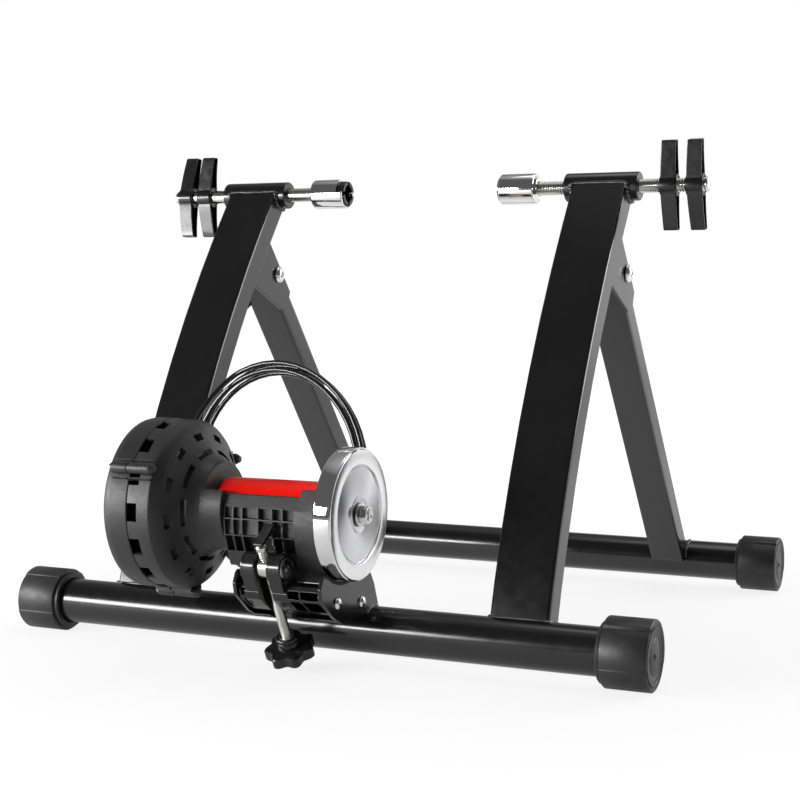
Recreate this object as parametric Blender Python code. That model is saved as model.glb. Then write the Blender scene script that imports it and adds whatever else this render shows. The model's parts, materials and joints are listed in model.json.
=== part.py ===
"""Folding bicycle trainer: a hinged tube stand with two axle clamps, and a roller unit with a
flywheel, a magnetic drum and a screw that tilts it on the base tube. Metres, +Z up, +X along the
base tubes, +Y from the front base tube to the rear one, the stand's middle plane at X = 0."""

import math

import bmesh
import bpy
from mathutils import Matrix, Vector

GAP = 0.0003  # clearance between pieces that touch
ROUND = 32  # sides of the base tubes and of what seats on them

# stand
TUBE_R, TUBE_WALL = 0.019, 0.0016
SPAN = 0.567  # over the caps' end faces
TUBE_SPACING = 0.4692
LEVELS = (0.0252, 0.0262, 0.0272, 0.0282, 0.0292)  # radii of a cap's five sectors
STANDING = len(LEVELS) // 2  # the sector that stands on the floor
CAP_LENGTH, CAP_END, CAP_LIP_R, CAP_LIP = 0.0425, 0.0032, 0.0238, 0.0034
CAP_FLAT, ARC_STEP = 6.0, 18.0  # half angle of each sector's flat and a facet's angle, in degrees
TUBE_Z = LEVELS[STANDING] * math.cos(math.radians(CAP_FLAT))

# resistance unit, measured from the front base tube's axis
AXLE_Y, AXLE_Z = -0.050, 0.0998
DRUM_R, DRUM_WALL = 0.069, 0.0024
FRONT_Y = -(TUBE_SPACING + LEVELS[-1] + AXLE_Y - DRUM_R) / 2
REAR_Y = FRONT_Y + TUBE_SPACING

LEG_X = SPAN / 2 - 0.1100
LEG_W, LEG_D, LEG_WALL, LEG_CORNER = 0.050, 0.0245, 0.0018, 0.0032
LEG_CURVE = (0.0101, 0.2986, 0.674)  # Y of the front leg's centre line for a height above the tube
HEAD_Z = 0.3660
HEAD_Y = LEG_CURVE[0] + LEG_CURVE[1] * HEAD_Z + LEG_CURVE[2] * HEAD_Z ** 2
SLEEVE_R, SLEEVE_L = 0.01275, 0.0669
ROD_R, ROD_PLAY = 0.0064, 0.0003

REAR_X, REAR_W, REAR_D = LEG_X + 0.0010, 0.0335, 0.0232
PIVOT_Y, PIVOT_Z = 0.2117, 0.2899
REAR_FOOT_Y, REAR_FOOT_Z = TUBE_SPACING - 0.0195, 0.0076
REAR_TONGUE_Z = 0.001  # the rear legs end at this height above the tube's axis
BOLT_R, BOLT_HEAD_R, PLATE = 0.0040, 0.0078, 0.0030
FOLD_PLAY = 0.001
CHANNEL_HALF = REAR_W / 2 + FOLD_PLAY + PLATE
CHANNEL_BACK = (-0.0019, 0.0081, 0.0181, 0.0281)  # heights of the channel's seam with the leg
CHANNEL_EDGE = ((-0.0182, 0.0331), (0.0249, -0.0166), (0.0208, -0.0274), (0.0073, -0.0339))

# clamps, X from a leg's middle plane
CUP_R, CUP_L, CUP_WALL, CUP_DEPTH, CUP_SEAT = 0.0137, 0.0352, 0.0016, 0.0170, 0.0125
INSERT_LIP, INSERT_BORE, INSERT_FLOOR = 0.0016, 0.0078, 0.0035
SLOT_HALF, SLOT_DEPTH = 0.0028, 0.0062
CUP_REACH = {"left": 0.0953, "right": 0.0947}
ROD_REACH = {"left": 0.0920, "right": 0.0945}
WING_HUB_R, WING_HUB_L, WING_T, WING_REACH = 0.0112, 0.0150, 0.0088, 0.0390
WING_WIDTHS = ((0.17, 0.0155), (0.45, 0.0142), (0.75, 0.0158), (0.93, 0.0152), (1.0, 0.0118))

# roller unit, stations along X
ROLLER_R, ROLLER_X0, ROLLER_X1, ROLLER_EDGE = 0.0237, -0.0552, 0.0345, 0.0012
FLY_R, FLY_X0, FLY_X1 = 0.0519, 0.0474, 0.0624
WASHER_R, WASHER_T = 0.0095, 0.0012
COVER_X0, COVER_X1 = -0.1314, -0.1063
WINDOW_X1, RIM_X1 = -0.0972, -0.0838
NECK_R, NECK_X0, NECK_X1 = 0.0350, -0.0615, -0.0418
HOUSE_X0, HOUSE_X1, COLLAR_X = NECK_X1 + GAP, 0.0440, 0.0215
LIP_Z, COLLAR_LIP_Z, SADDLE_R = 0.0137, 0.0190, 0.0256
SHAFT_R, SHAFT_X0, SHAFT_L, SHAFT_EDGE = 0.0050, -0.1200, 0.1910, 0.0006
POST_R, POST_END = 0.0082, -0.1125
SEAT_X0, SEAT_X1, SEAT_R = -0.0640, -0.0590, 0.0075  # the left bearing's seat in the drum's neck
WEB_X0, WEB_R = 0.0372, 0.0080  # the right bearing's wall
ROTOR_X0, ROTOR_R, ROTOR_T, ROTOR_HUB_R, ROTOR_HUB_L = -0.1010, 0.0600, 0.0040, 0.0140, 0.0120
MAGNET_X0, CARRIER_R, CARRIER_T, MAGNETS, MAGNET_R, MAGNET_L = -0.1180, 0.0560, 0.0045, 6, 0.0090, 0.0085
BOSS_ANGLES = (152.0, 25.0, 272.0)
BOSS_OUT, BOSS_R, BOSS_COVER_L, BOSS_SHELL_L = 0.0037, 0.0046, 0.0150, 0.0240
BOSS_WEB, BOSS_HOLE_R, BOSS_SCREW_R, BOSS_SCREW_L = 0.0030, 0.0018, 0.0015, 0.028
WINDOWS, WINDOW_HALF, OUTER_VENTS, INNER_VENTS = 15, 0.0072, 12, 9
HINGE_Y, HINGE_Z, HINGE_R, HINGE_BOSS_R = -0.0080, 0.0440, 0.0040, 0.0088
ARM_X0, ARM_X1, ARM_PLAY = -0.0128, 0.0350, 0.0004
LUG_HALF = 0.0105

# tilt screw
BRACKET_X0, BRACKET_X1 = -0.0270, 0.0500
BRACKET_SCREWS = ((-0.0647, 0.0322), (-0.0215, 0.0262))
CHEEK_HOLE_R, CHEEK_THREAD_R, CHEEK_SCREW_R, CHEEK_SCREW_L = 0.0027, 0.0023, 0.0019, 0.0112
TRUNNION_Y, TRUNNION_Z, TRUNNION_R = -0.0850, 0.0596, 0.0088
EAR_R, EAR_IN, EAR_OUT, EAR_ROOM = 0.0118, 0.0056, 0.0168, 0.0158
SCREW_DIR = Vector((0.0, -0.468, 0.8837)).normalized()
SCREW_R, SCREW_UP, SCREW_DOWN = 0.0041, 0.0165, 0.0665
PAD_R, PAD_T = 0.0050, 0.0049
KNOB_R, KNOB_LOBES, KNOB_T, KNOB_NECK_R, KNOB_NECK = 0.0206, 7, 0.0090, 0.0092, 0.0100

# cable
CABLE_R, LOOPS, LOOP_R0, LOOP_STEP, LAYER = 0.0022, 4, 0.0925, 0.0060, 0.0054
COIL_X, COIL_Y, COIL_Z = -0.052, 0.0205, 0.1215
COIL_LEAN, COIL_YAW = 0.085, -0.150  # rise of Y along Z and along X
GLAND_ANGLE, GLAND_X, GLAND_L, CABLE_LEAD = 50.0, -0.1175, 0.0088, 0.0045
TAIL, TAIL_START = Vector((-1.0, 0.12, 0.10)), (-0.0140, 0.0330, 0.0640)
FERRULE_R, FERRULE_L, REMOTE_L = 0.0029, 0.0110, 0.0260


def cleared():
    for obj in list(bpy.data.objects):
        bpy.data.objects.remove(obj, do_unlink=True)


def material(name, color, metallic, rough):
    made = bpy.data.materials.get(name)
    if made:
        return made
    made = bpy.data.materials.new(name)
    made.use_nodes = True
    shader = made.node_tree.nodes["Principled BSDF"]
    shader.inputs["Base Color"].default_value = (*color, 1)
    shader.inputs["Metallic"].default_value = metallic
    shader.inputs["Roughness"].default_value = rough
    made.diffuse_color = (*color, 1)
    return made


LOOKS = {
    "powder": ((0.020, 0.020, 0.021), 0.0, 0.38),
    "rubber": ((0.022, 0.022, 0.023), 0.0, 0.62),
    "zinc": ((0.66, 0.65, 0.60), 1.0, 0.32),
    "chrome": ((0.80, 0.80, 0.80), 1.0, 0.08),
    "knob": ((0.012, 0.012, 0.012), 0.0, 0.30),
    "shell": ((0.060, 0.060, 0.064), 0.0, 0.55),
    "block": ((0.014, 0.014, 0.015), 0.0, 0.25),
    "roller": ((0.85, 0.012, 0.006), 0.0, 0.25),
    "aluminium": ((0.82, 0.82, 0.84), 1.0, 0.18),
    "cable": ((0.016, 0.016, 0.016), 0.0, 0.35),
}


def finish(name, bm, look, origin=None):
    """The mesh as a named object, its origin moved to a world point."""
    bmesh.ops.remove_doubles(bm, verts=bm.verts, dist=1e-7)
    bmesh.ops.recalc_face_normals(bm, faces=bm.faces)
    mesh = bpy.data.meshes.new(name)
    bm.to_mesh(mesh)
    bm.free()
    obj = bpy.data.objects.new(name, mesh)
    bpy.context.scene.collection.objects.link(obj)
    if look:
        mesh.materials.append(material(name, *LOOKS[look]))
    if origin is not None:
        at = Vector(origin)
        mesh.transform(Matrix.Translation(-at))
        obj.location = at
    return obj


def at(x, y, z):
    """A point given from the front base tube's axis."""
    return Vector((x, FRONT_Y + y, TUBE_Z + z))


def basis(direction):
    """Two unit vectors square to the direction: for +X they are +Y and +Z."""
    d = Vector(direction).normalized()
    side = Vector((0, 1, 0)) if abs(d.x) > 0.9 else Vector((1, 0, 0))
    v = d.cross(side).normalized()
    return d, v.cross(d).normalized(), v


def lathe_into(bm, base, direction, profile, sides, hollow=False, turn=0.0):
    """Revolves (station, radius) pairs about an axis. A hollow profile closes on itself."""
    d, u, v = basis(direction)
    rings = []
    for s, r in profile:
        centre = base + d * s
        if r <= 0:
            rings.append([bm.verts.new(centre)])
            continue
        ring = []
        for i in range(sides):
            a = turn + 2 * math.pi * i / sides
            ring.append(bm.verts.new(centre + (u * math.cos(a) + v * math.sin(a)) * r))
        rings.append(ring)
    pairs = list(zip(rings, rings[1:]))
    if hollow:
        pairs.append((rings[-1], rings[0]))
    for a, b in pairs:
        for i in range(sides):
            j = (i + 1) % sides
            loop = [a[i % len(a)], a[j % len(a)], b[j % len(b)], b[i % len(b)]]
            loop = list(dict.fromkeys(loop))
            if len(loop) > 2:
                bm.faces.new(loop)


def lathe(name, base, direction, profile, sides, look, hollow=False, origin=None, turn=0.0):
    bm = bmesh.new()
    lathe_into(bm, base, direction, profile, sides, hollow, turn)
    return finish(name, bm, look, origin if origin is not None else base)


def prism_into(bm, outline, x0, x1):
    """Extrudes a (Y, Z) outline, given from the front tube's axis, along X."""
    ends = [[bm.verts.new(at(x, y, z)) for y, z in outline] for x in (x0, x1)]
    n = len(outline)
    bm.faces.new(ends[0])
    bm.faces.new(list(reversed(ends[1])))
    for i in range(n):
        j = (i + 1) % n
        bm.faces.new([ends[0][i], ends[1][i], ends[1][j], ends[0][j]])


def prism(name, outline, x0, x1, look=None, origin=None):
    bm = bmesh.new()
    prism_into(bm, outline, x0, x1)
    return finish(name, bm, look, origin)


def box_into(bm, x0, x1, y0, y1, z0, z1):
    prism_into(bm, [(y0, z0), (y1, z0), (y1, z1), (y0, z1)], x0, x1)


def tool(obj):
    obj.hide_render = True
    obj.display_type = "WIRE"
    obj.hide_set(True)
    return obj


def combine(obj, other, how="DIFFERENCE"):
    step = obj.modifiers.new(f"{how.lower()}_{other.name}"[:60], "BOOLEAN")
    step.operation = how
    step.solver = "EXACT"
    step.object = other
    tool(other)
    return obj


def arc(cy, cz, r, a0, a1, n):
    """Points of an arc in the YZ plane, angles in degrees from +Y towards +Z."""
    out = []
    for i in range(n + 1):
        a = math.radians(a0 + (a1 - a0) * i / n)
        out.append((cy + r * math.cos(a), cz + r * math.sin(a)))
    return out


def cylinder_tool(name, base, direction, length, r, sides=32):
    obj = lathe(name, base, direction, [(0, 0), (0, r), (length, r), (length, 0)], sides, None)
    return tool(obj)


def nut(name, base, direction, corner_r, height, shank_r):
    """Hexagon nut with a round bore."""
    bevel = 0.0006
    body = lathe(name, base, direction, [(0, 0), (0, corner_r), (height - bevel, corner_r),
                                         (height, corner_r - 2 * bevel), (height, 0)], 6, "zinc")
    inward = Vector(direction).normalized() * 0.002
    bore = cylinder_tool(f"{name}_bore", base - inward, direction, height + 0.004, shank_r + GAP, 20)
    return combine(body, bore)


def base_tube(name, y):
    half = SPAN / 2 - CAP_END - GAP
    start = at(-half, y, 0)
    inner = TUBE_R - TUBE_WALL
    profile = [(0, inner), (0, TUBE_R), (2 * half, TUBE_R), (2 * half, inner)]
    return lathe(name, start, (1, 0, 0), profile, ROUND, "powder", hollow=True)


def section(corner, w, d):
    """Rounded rectangle, as (across, through) pairs."""
    out = []
    for sx, sy, a0 in ((1, 1, 0), (-1, 1, 90), (-1, -1, 180), (1, -1, 270)):
        for i in range(3):
            a = math.radians(a0 + 45 * i)
            out.append((sx * (w / 2 - corner) + corner * math.cos(a),
                        sy * (d / 2 - corner) + corner * math.sin(a)))
    return out


def swept_leg(name, x, spine, w, d, look="powder"):
    """Rectangular tube along a spine of (Y, Z) points."""
    bm = bmesh.new()
    shells = []
    for inset in (0.0, LEG_WALL):
        ring_list = []
        shape = section(max(LEG_CORNER - inset, 0.0012), w - 2 * inset, d - 2 * inset)
        for i, (y, z) in enumerate(spine):
            before, after = spine[max(i - 1, 0)], spine[min(i + 1, len(spine) - 1)]
            t = Vector((0, after[0] - before[0], after[1] - before[1])).normalized()
            n = Vector((0, t.z, -t.y))
            ring_list.append([bm.verts.new(at(x + a, y, z) + n * b) for a, b in shape])
        shells.append(ring_list)
    count = len(shells[0][0])
    for rings in shells:
        for a, b in zip(rings, rings[1:]):
            for i in range(count):
                j = (i + 1) % count
                bm.faces.new([a[i], a[j], b[j], b[i]])
    for end in (0, -1):
        outer, inner = shells[0][end], shells[1][end]
        for i in range(count):
            j = (i + 1) % count
            bm.faces.new([outer[i], outer[j], inner[j], inner[i]])
    return finish(name, bm, look, at(x, *spine[0]))


def front_leg(side, sign):
    c0, c1, c2 = LEG_CURVE
    spine = []
    for i in range(10):
        z = HEAD_Z * i / 9
        spine.append((c0 + c1 * z + c2 * z * z, z))
    leg = swept_leg(f"front_leg_{side}", sign * LEG_X, spine, LEG_W, LEG_D)
    x0 = sign * LEG_X - LEG_W
    for end, y, z, r, sides in (("foot", 0, 0, TUBE_R, ROUND), ("head", HEAD_Y, HEAD_Z, SLEEVE_R, 20)):
        combine(leg, cylinder_tool(f"cope_{end}_{side}", at(x0, y, z), (1, 0, 0), 2 * LEG_W, r + GAP, sides))
    return leg


def sleeve(side, sign):
    start = at(sign * LEG_X - SLEEVE_L / 2, HEAD_Y, HEAD_Z)
    bore = ROD_R + ROD_PLAY
    bev = 0.0008
    profile = [(0, bore), (0, SLEEVE_R - bev), (bev, SLEEVE_R), (SLEEVE_L - bev, SLEEVE_R),
               (SLEEVE_L, SLEEVE_R - bev), (SLEEVE_L, bore)]
    return lathe(f"sleeve_{side}", start, (1, 0, 0), profile, 20, "powder", hollow=True)


def leg_back(z):
    """Point on the back face of a front leg, level with a height of its centre line."""
    c0, c1, c2 = LEG_CURVE
    slope = c1 + 2 * c2 * z
    reach = (LEG_D / 2 + GAP) / math.hypot(1, slope)
    return c0 + c1 * z + c2 * z * z + reach, z - slope * reach


def pivot_channel(side, sign):
    """Bent plate behind a front leg: two cheeks, joined by a web along the leg."""
    x = sign * REAR_X
    back = [leg_back(PIVOT_Z + rise) for rise in CHANNEL_BACK]
    edge = [(PIVOT_Y + y, PIVOT_Z + z) for y, z in CHANNEL_EDGE]
    obj = prism(f"pivot_channel_{side}", back[-1:] + edge + back[:-1], x - CHANNEL_HALF, x + CHANNEL_HALF,
                "powder", at(x, PIVOT_Y, PIVOT_Z))
    web = 1.25 * PLATE
    first, last = back[0], back[-1]
    cut = [(first[0] + web, first[1] - 0.02), (PIVOT_Y + 0.05, PIVOT_Z - 0.055),
           (PIVOT_Y + 0.05, PIVOT_Z + 0.05), (last[0] + web, last[1] + 0.02)]
    inner = CHANNEL_HALF - PLATE
    combine(obj, prism(f"channel_gap_{side}", cut, x - inner, x + inner))
    combine(obj, cylinder_tool(f"channel_bore_{side}", at(x - REAR_W, PIVOT_Y, PIVOT_Z), (1, 0, 0),
                               2 * REAR_W, BOLT_R + GAP, 16))
    return obj


def pivot_bolt(side, sign):
    """Domed bolt with its head towards +X, as on both sides of the stand."""
    x = sign * REAR_X
    start = at(x - CHANNEL_HALF - 0.0085, PIVOT_Y, PIVOT_Z)
    reach = 2 * CHANNEL_HALF + 0.0085 + GAP
    rim, dome = reach + 0.0012, 0.0038
    head = [(reach, BOLT_HEAD_R), (rim, BOLT_HEAD_R)]
    head += [(rim + dome * math.sin(a), (BOLT_HEAD_R - 0.0002) * math.cos(a)) for a in (0.4, 0.9, 1.3)]
    profile = [(0, 0), (0, BOLT_R - 0.0006), (0.0006, BOLT_R), (reach, BOLT_R)] + head + [(rim + dome, 0)]
    bolt = lathe(f"pivot_bolt_{side}", start, (1, 0, 0), profile, 16, "chrome")
    seat = at(x - CHANNEL_HALF - GAP, PIVOT_Y, PIVOT_Z)
    nut(f"pivot_nut_{side}", seat, (-1, 0, 0), 0.0075, 0.0065, BOLT_R)
    return bolt


def rear_leg(side, sign):
    d = Vector((0, PIVOT_Y - REAR_FOOT_Y, PIVOT_Z - REAR_FOOT_Z)).normalized()
    foot = Vector((0, REAR_FOOT_Y, REAR_FOOT_Z)) - d * 0.024
    top = Vector((0, PIVOT_Y, PIVOT_Z)) + d * 0.0125
    spine = [(foot.y, foot.z), (top.y, top.z)]
    x = sign * REAR_X
    leg = swept_leg(f"rear_leg_{side}", x, spine, REAR_W, REAR_D)
    side_x, across = x - REAR_W, 2 * REAR_W
    combine(leg, cylinder_tool(f"rear_cope_{side}", at(side_x, TUBE_SPACING, 0), (1, 0, 0), across,
                               TUBE_R + GAP, ROUND))
    near, far = TUBE_SPACING - 0.07, TUBE_SPACING + 0.05
    below = [(near, -0.08), (far, -0.08), (far, REAR_TONGUE_Z), (near, REAR_TONGUE_Z)]
    combine(leg, prism(f"rear_trim_{side}", below, side_x, side_x + across))
    combine(leg, cylinder_tool(f"rear_bore_{side}", at(side_x, PIVOT_Y, PIVOT_Z), (1, 0, 0), across,
                               BOLT_R + GAP, 16))
    return leg


def sector_angles(sweep, down):
    """Angles of a sector's corners from its start, with a flat about the given angle."""
    flat = (down - CAP_FLAT, down + CAP_FLAT)
    before = max(1, round(flat[0] / ARC_STEP))
    after = max(1, round((sweep - flat[1]) / ARC_STEP))
    rise = [flat[0] * i / before for i in range(before + 1)]
    return rise + [flat[1] + (sweep - flat[1]) * i / after for i in range(after + 1)]


def level_cap(name, sign, y, step_angle):
    """Rubber cap with five sectors of growing radius: turned to another sector, it levels the stand.
    step_angle is the front end of the sector on the floor, in degrees above the horizontal."""
    bm = bmesh.new()
    base = at(sign * SPAN / 2, y, 0)
    inward = -sign
    sectors = len(LEVELS)
    sweep = 360.0 / sectors
    ring = []
    for k in range(sectors):
        level = LEVELS[(STANDING + sign * k) % sectors]
        for degrees in sector_angles(sweep, sweep - 90.0 - step_angle):
            turn = math.radians(step_angle + sweep * (k - 1) + degrees)
            ring.append((-math.cos(turn) * level, math.sin(turn) * level))
    stations = [(0.0, 0.0015), (0.0014, 0.0), (CAP_LENGTH + 0.0012, 0.0)]
    rings = []
    for s, inset in stations:
        scale = [1 - inset / math.hypot(*p) for p in ring]
        rings.append([bm.verts.new(base + Vector((inward * s, p[0] * k, p[1] * k)))
                      for p, k in zip(ring, scale)])
    n = len(ring)
    for a, b in zip(rings, rings[1:]):
        for i in range(n):
            j = (i + 1) % n
            bm.faces.new([a[i], a[j], b[j], b[i]])
    bm.faces.new(rings[0])
    bm.faces.new(list(reversed(rings[-1])))
    cap = finish(name, bm, "rubber", at(sign * SPAN / 2, y, 0))
    lip_start = at(sign * (SPAN / 2 - CAP_LENGTH), y, 0)
    rim, edge = CAP_LIP + 0.0022, 0.0010
    lip = lathe(f"{name}_lip", lip_start, (inward, 0, 0),
                [(0, 0), (0, CAP_LIP_R), (rim - edge, CAP_LIP_R), (rim, CAP_LIP_R - edge), (rim, 0)],
                ROUND, None)
    combine(cap, tool(lip), "UNION")
    bore = cylinder_tool(f"{name}_bore", at(sign * (SPAN / 2 - CAP_END), y, 0), (inward, 0, 0), 0.06,
                         TUBE_R + GAP, ROUND)
    combine(cap, bore)
    return cap


def clamp_cup(side, sign):
    """Chrome cup whose mouth faces the middle, with a castellated insert."""
    inward = (-sign, 0, 0)
    mouth, inner, bore = LEG_X - CUP_REACH[side], CUP_R - CUP_WALL, ROD_R + GAP
    floor = CUP_L - CUP_DEPTH
    profile = [(0, bore), (0, CUP_R - 0.0015), (0.0015, CUP_R), (CUP_L - 0.0006, CUP_R),
               (CUP_L, CUP_R - 0.0006), (CUP_L, inner), (floor, inner), (floor, 0), (CUP_SEAT, 0),
               (CUP_SEAT, bore)]
    cup = lathe(f"{side}_cup", at(sign * (mouth + CUP_L), HEAD_Y, HEAD_Z), inward, profile, 20, "chrome")
    mesh_cup_close(cup)
    outer, tip = inner - GAP, CUP_DEPTH - GAP + INSERT_LIP
    body = lathe(f"{side}_insert", at(sign * (mouth + CUP_DEPTH - GAP), HEAD_Y, HEAD_Z), inward,
                 [(0, 0), (0, outer), (tip, outer), (tip, INSERT_BORE), (INSERT_FLOOR, INSERT_BORE),
                  (INSERT_FLOOR, 0)], 20, "knob")
    near, far = sorted((sign * (mouth - 0.004), sign * (mouth + SLOT_DEPTH)))
    for i, (wy, wz) in enumerate(((SLOT_HALF, CUP_R), (CUP_R, SLOT_HALF))):
        bm = bmesh.new()
        box_into(bm, near, far, HEAD_Y - wy, HEAD_Y + wy, HEAD_Z - wz, HEAD_Z + wz)
        combine(body, finish(f"{side}_slot_{i}", bm, None))


def mesh_cup_close(obj):
    """The cup's profile runs from its rod seat round to the same ring, so that end is bridged."""
    bm = bmesh.new()
    bm.from_mesh(obj.data)
    edges = [e for e in bm.edges if e.is_boundary]
    if edges:
        bmesh.ops.bridge_loops(bm, edges=edges)
    bmesh.ops.recalc_face_normals(bm, faces=bm.faces)
    bm.to_mesh(obj.data)
    bm.free()


def strip_into(bm, rows):
    """Closes rows of four corners into one solid bar."""
    verts = [[bm.verts.new(p) for p in row] for row in rows]
    for a, b in zip(verts, verts[1:]):
        for i in range(4):
            j = (i + 1) % 4
            bm.faces.new([a[i], a[j], b[j], b[i]])
    bm.faces.new(verts[0])
    bm.faces.new(list(reversed(verts[-1])))


def wing_knob(name, reach_x, sign, tilt, sweep):
    """Two-wing knob: a hub with two paddles whose tips are swept outwards."""
    x, edge, bore = sign * (LEG_X + reach_x), 0.0015, ROD_R + GAP
    hub = lathe(name, at(x - sign * WING_HUB_L / 2, HEAD_Y, HEAD_Z), (sign, 0, 0),
                [(0, bore), (0, WING_HUB_R), (WING_HUB_L - edge, WING_HUB_R), (WING_HUB_L, WING_HUB_R - edge),
                 (WING_HUB_L, bore)], 20, "knob", hollow=True, origin=at(x, HEAD_Y, HEAD_Z))
    bm = bmesh.new()
    turn = Matrix.Rotation(math.radians(tilt), 4, "X")
    for end in (1, -1):
        rows = []
        for f, width in WING_WIDTHS:
            shift, half = sign * sweep * f ** 2 * end, WING_T * (1.0 - 0.18 * f) / 2
            rows.append([turn @ Vector((shift + sx * half, sy * width / 2, end * WING_REACH * f))
                         for sx, sy in ((-1, -1), (1, -1), (1, 1), (-1, 1))])
        strip_into(bm, rows)
    wings = finish(f"{name}_wings", bm, None)
    wings.location = at(x, HEAD_Y, HEAD_Z)
    return combine(hub, tool(wings), "UNION")


def axle(x):
    return at(x, AXLE_Y, AXLE_Z)


def drum_cover():
    """Outer half of the drum, with a rounded edge and a post that holds the shaft's end."""
    r, w, length, c = DRUM_R, DRUM_WALL, COVER_X1 - COVER_X0, 0.0060
    bore, blind = SHAFT_R + GAP, SHAFT_X0 - GAP - COVER_X0
    post = POST_END - COVER_X0
    outer = [(0, 0), (0, r - c - 0.004), (0.0014, r - c + 0.0010), (0.0045, r - 0.0010), (0.0090, r)]
    inner = [(length, r), (length, r - w), (0.0070, r - w - 0.0012), (w, r - c - 0.006), (w, POST_R)]
    socket = [(post, POST_R), (post, bore), (blind, bore), (blind, 0)]
    return lathe("drum_cover", axle(COVER_X0), (1, 0, 0), outer + inner + socket, 30, "shell")


def drum_shell():
    """Inner half of the drum: window ring, rim, dome and the open neck under the roller."""
    r, w = DRUM_R, DRUM_WALL
    x0 = COVER_X1 + GAP
    outer = [(x0, r - 0.0006), (RIM_X1, r - 0.0008), (RIM_X1 + 0.0030, r - 0.0050),
             (RIM_X1 + 0.0073, r - 0.0190), (NECK_X0 - 0.0085, NECK_R + 0.0055), (NECK_X0, NECK_R),
             (NECK_X1, NECK_R)]
    inner = [(NECK_X1, NECK_R - 0.0060), (SEAT_X1, NECK_R - 0.0060), (SEAT_X1, SEAT_R), (SEAT_X0, SEAT_R),
             (SEAT_X0 - 0.0085, NECK_R + 0.0030), (RIM_X1 + 0.0008, r - 0.0130),
             (RIM_X1 - 0.0027, r - w - 0.0010), (x0, r - w - 0.0006)]
    profile = [(x - x0, rad) for x, rad in outer + inner]
    shell = lathe("drum_shell", axle(x0), (1, 0, 0), profile, 36, "shell", hollow=True)
    windows(shell, x0)
    vents(shell)
    side, top = 0.045, AXLE_Z + 0.05
    mouth = [(AXLE_Y - side, AXLE_Z + COLLAR_LIP_Z), (AXLE_Y + side, AXLE_Z + 0.004), (AXLE_Y + side, top),
             (AXLE_Y - side, top)]
    combine(shell, prism("neck_mouth", mouth, SEAT_X1 + GAP, NECK_X1 + 0.002))
    return shell


def radial_box(bm, x0, x1, r0, r1, angle, half_width):
    """Box at an angle about the unit's axle, angle in degrees from +Y towards +Z."""
    a = math.radians(angle)
    u = Vector((0, math.cos(a), math.sin(a)))
    v = Vector((0, -math.sin(a), math.cos(a)))
    rows = []
    for x in (x0, x1):
        c = axle(x)
        rows.append([bm.verts.new(c + u * r + v * s) for r, s in
                     ((r0, -half_width), (r1, -half_width), (r1, half_width), (r0, half_width))])
    a, b = rows
    bm.faces.new(a)
    bm.faces.new(list(reversed(b)))
    for i in range(4):
        j = (i + 1) % 4
        bm.faces.new([a[i], b[i], b[j], a[j]])


def windows(shell, x0):
    bm = bmesh.new()
    for i in range(WINDOWS):
        radial_box(bm, x0 - 0.002, WINDOW_X1, DRUM_R - 0.008, DRUM_R + 0.006, 360 * (i + 0.5) / WINDOWS,
                   WINDOW_HALF)
    combine(shell, finish("window_cuts", bm, None))


def vents(shell):
    """Air slots through the dome: short ones in an outer ring, long ones in an inner ring."""
    bm = bmesh.new()
    for i in range(OUTER_VENTS):
        radial_box(bm, RIM_X1 - 0.0047, NECK_X0 - 0.0085, 0.0505, 0.0570, 360 / OUTER_VENTS * i + 8, 0.0040)
    for i in range(INNER_VENTS):
        radial_box(bm, RIM_X1 + 0.0038, NECK_X0 - 0.0005, 0.0395, 0.0432, 360 / INNER_VENTS * i + 22, 0.0095)
    combine(shell, finish("vent_cuts", bm, None))


def drum_boss(shell, cover):
    """Three screw bosses over both halves of the drum, each on a short web, and their screws."""
    seam, head = COVER_X1, COVER_X1 - BOSS_COVER_L
    for i, angle in enumerate(BOSS_ANGLES):
        a = math.radians(angle)
        out = DRUM_R + BOSS_OUT
        c = (AXLE_Y + out * math.cos(a), AXLE_Z + out * math.sin(a))
        for obj, x0, x1 in ((cover, head, seam), (shell, seam + GAP, seam + BOSS_SHELL_L)):
            post = lathe(f"boss_{obj.name}_{i}", at(x0, *c), (1, 0, 0),
                         [(0, 0), (0, BOSS_R), (x1 - x0, BOSS_R), (x1 - x0, 0)], 12, None)
            combine(obj, tool(post), "UNION")
            bm = bmesh.new()
            radial_box(bm, x0, x1, DRUM_R - DRUM_WALL / 2, DRUM_R + BOSS_OUT, angle, BOSS_WEB)
            combine(obj, tool(finish(f"boss_web_{obj.name}_{i}", bm, None)), "UNION")
            hole = cylinder_tool(f"boss_hole_{obj.name}_{i}", at(head - 0.0015, *c), (1, 0, 0),
                                 BOSS_SCREW_L + 0.0055, BOSS_HOLE_R, 10)
            combine(obj, hole)
        lathe(f"drum_screw_{i + 1}", at(head - GAP, *c), (1, 0, 0),
              [(-0.0022, 0), (-0.0022, 0.0024), (-0.0014, 0.0032), (0, 0.0032), (0, BOSS_SCREW_R),
               (BOSS_SCREW_L, BOSS_SCREW_R), (BOSS_SCREW_L, 0)], 10, "zinc")


def housing_outline(lip):
    """Cradle round the roller in the YZ plane: saddle, front lip, sloping front, foot and rear wall."""
    rise = math.degrees(math.asin(lip / SADDLE_R))
    pts = arc(0, 0, SADDLE_R, 6, -(180 + rise), 18)
    front = [(-0.0240, lip), (-0.0305, 0.0040), (-0.0315, -0.0080), (-0.0296, -0.0200), (-0.0250, -0.0320)]
    rear = [(-0.0195, -0.0435), (0.0180, -0.0435), (0.0290, -0.0300), (0.0300, -0.0060), (0.0284, 0.0027)]
    return [(AXLE_Y + y, AXLE_Z + z) for y, z in pts + front + rear]


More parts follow.
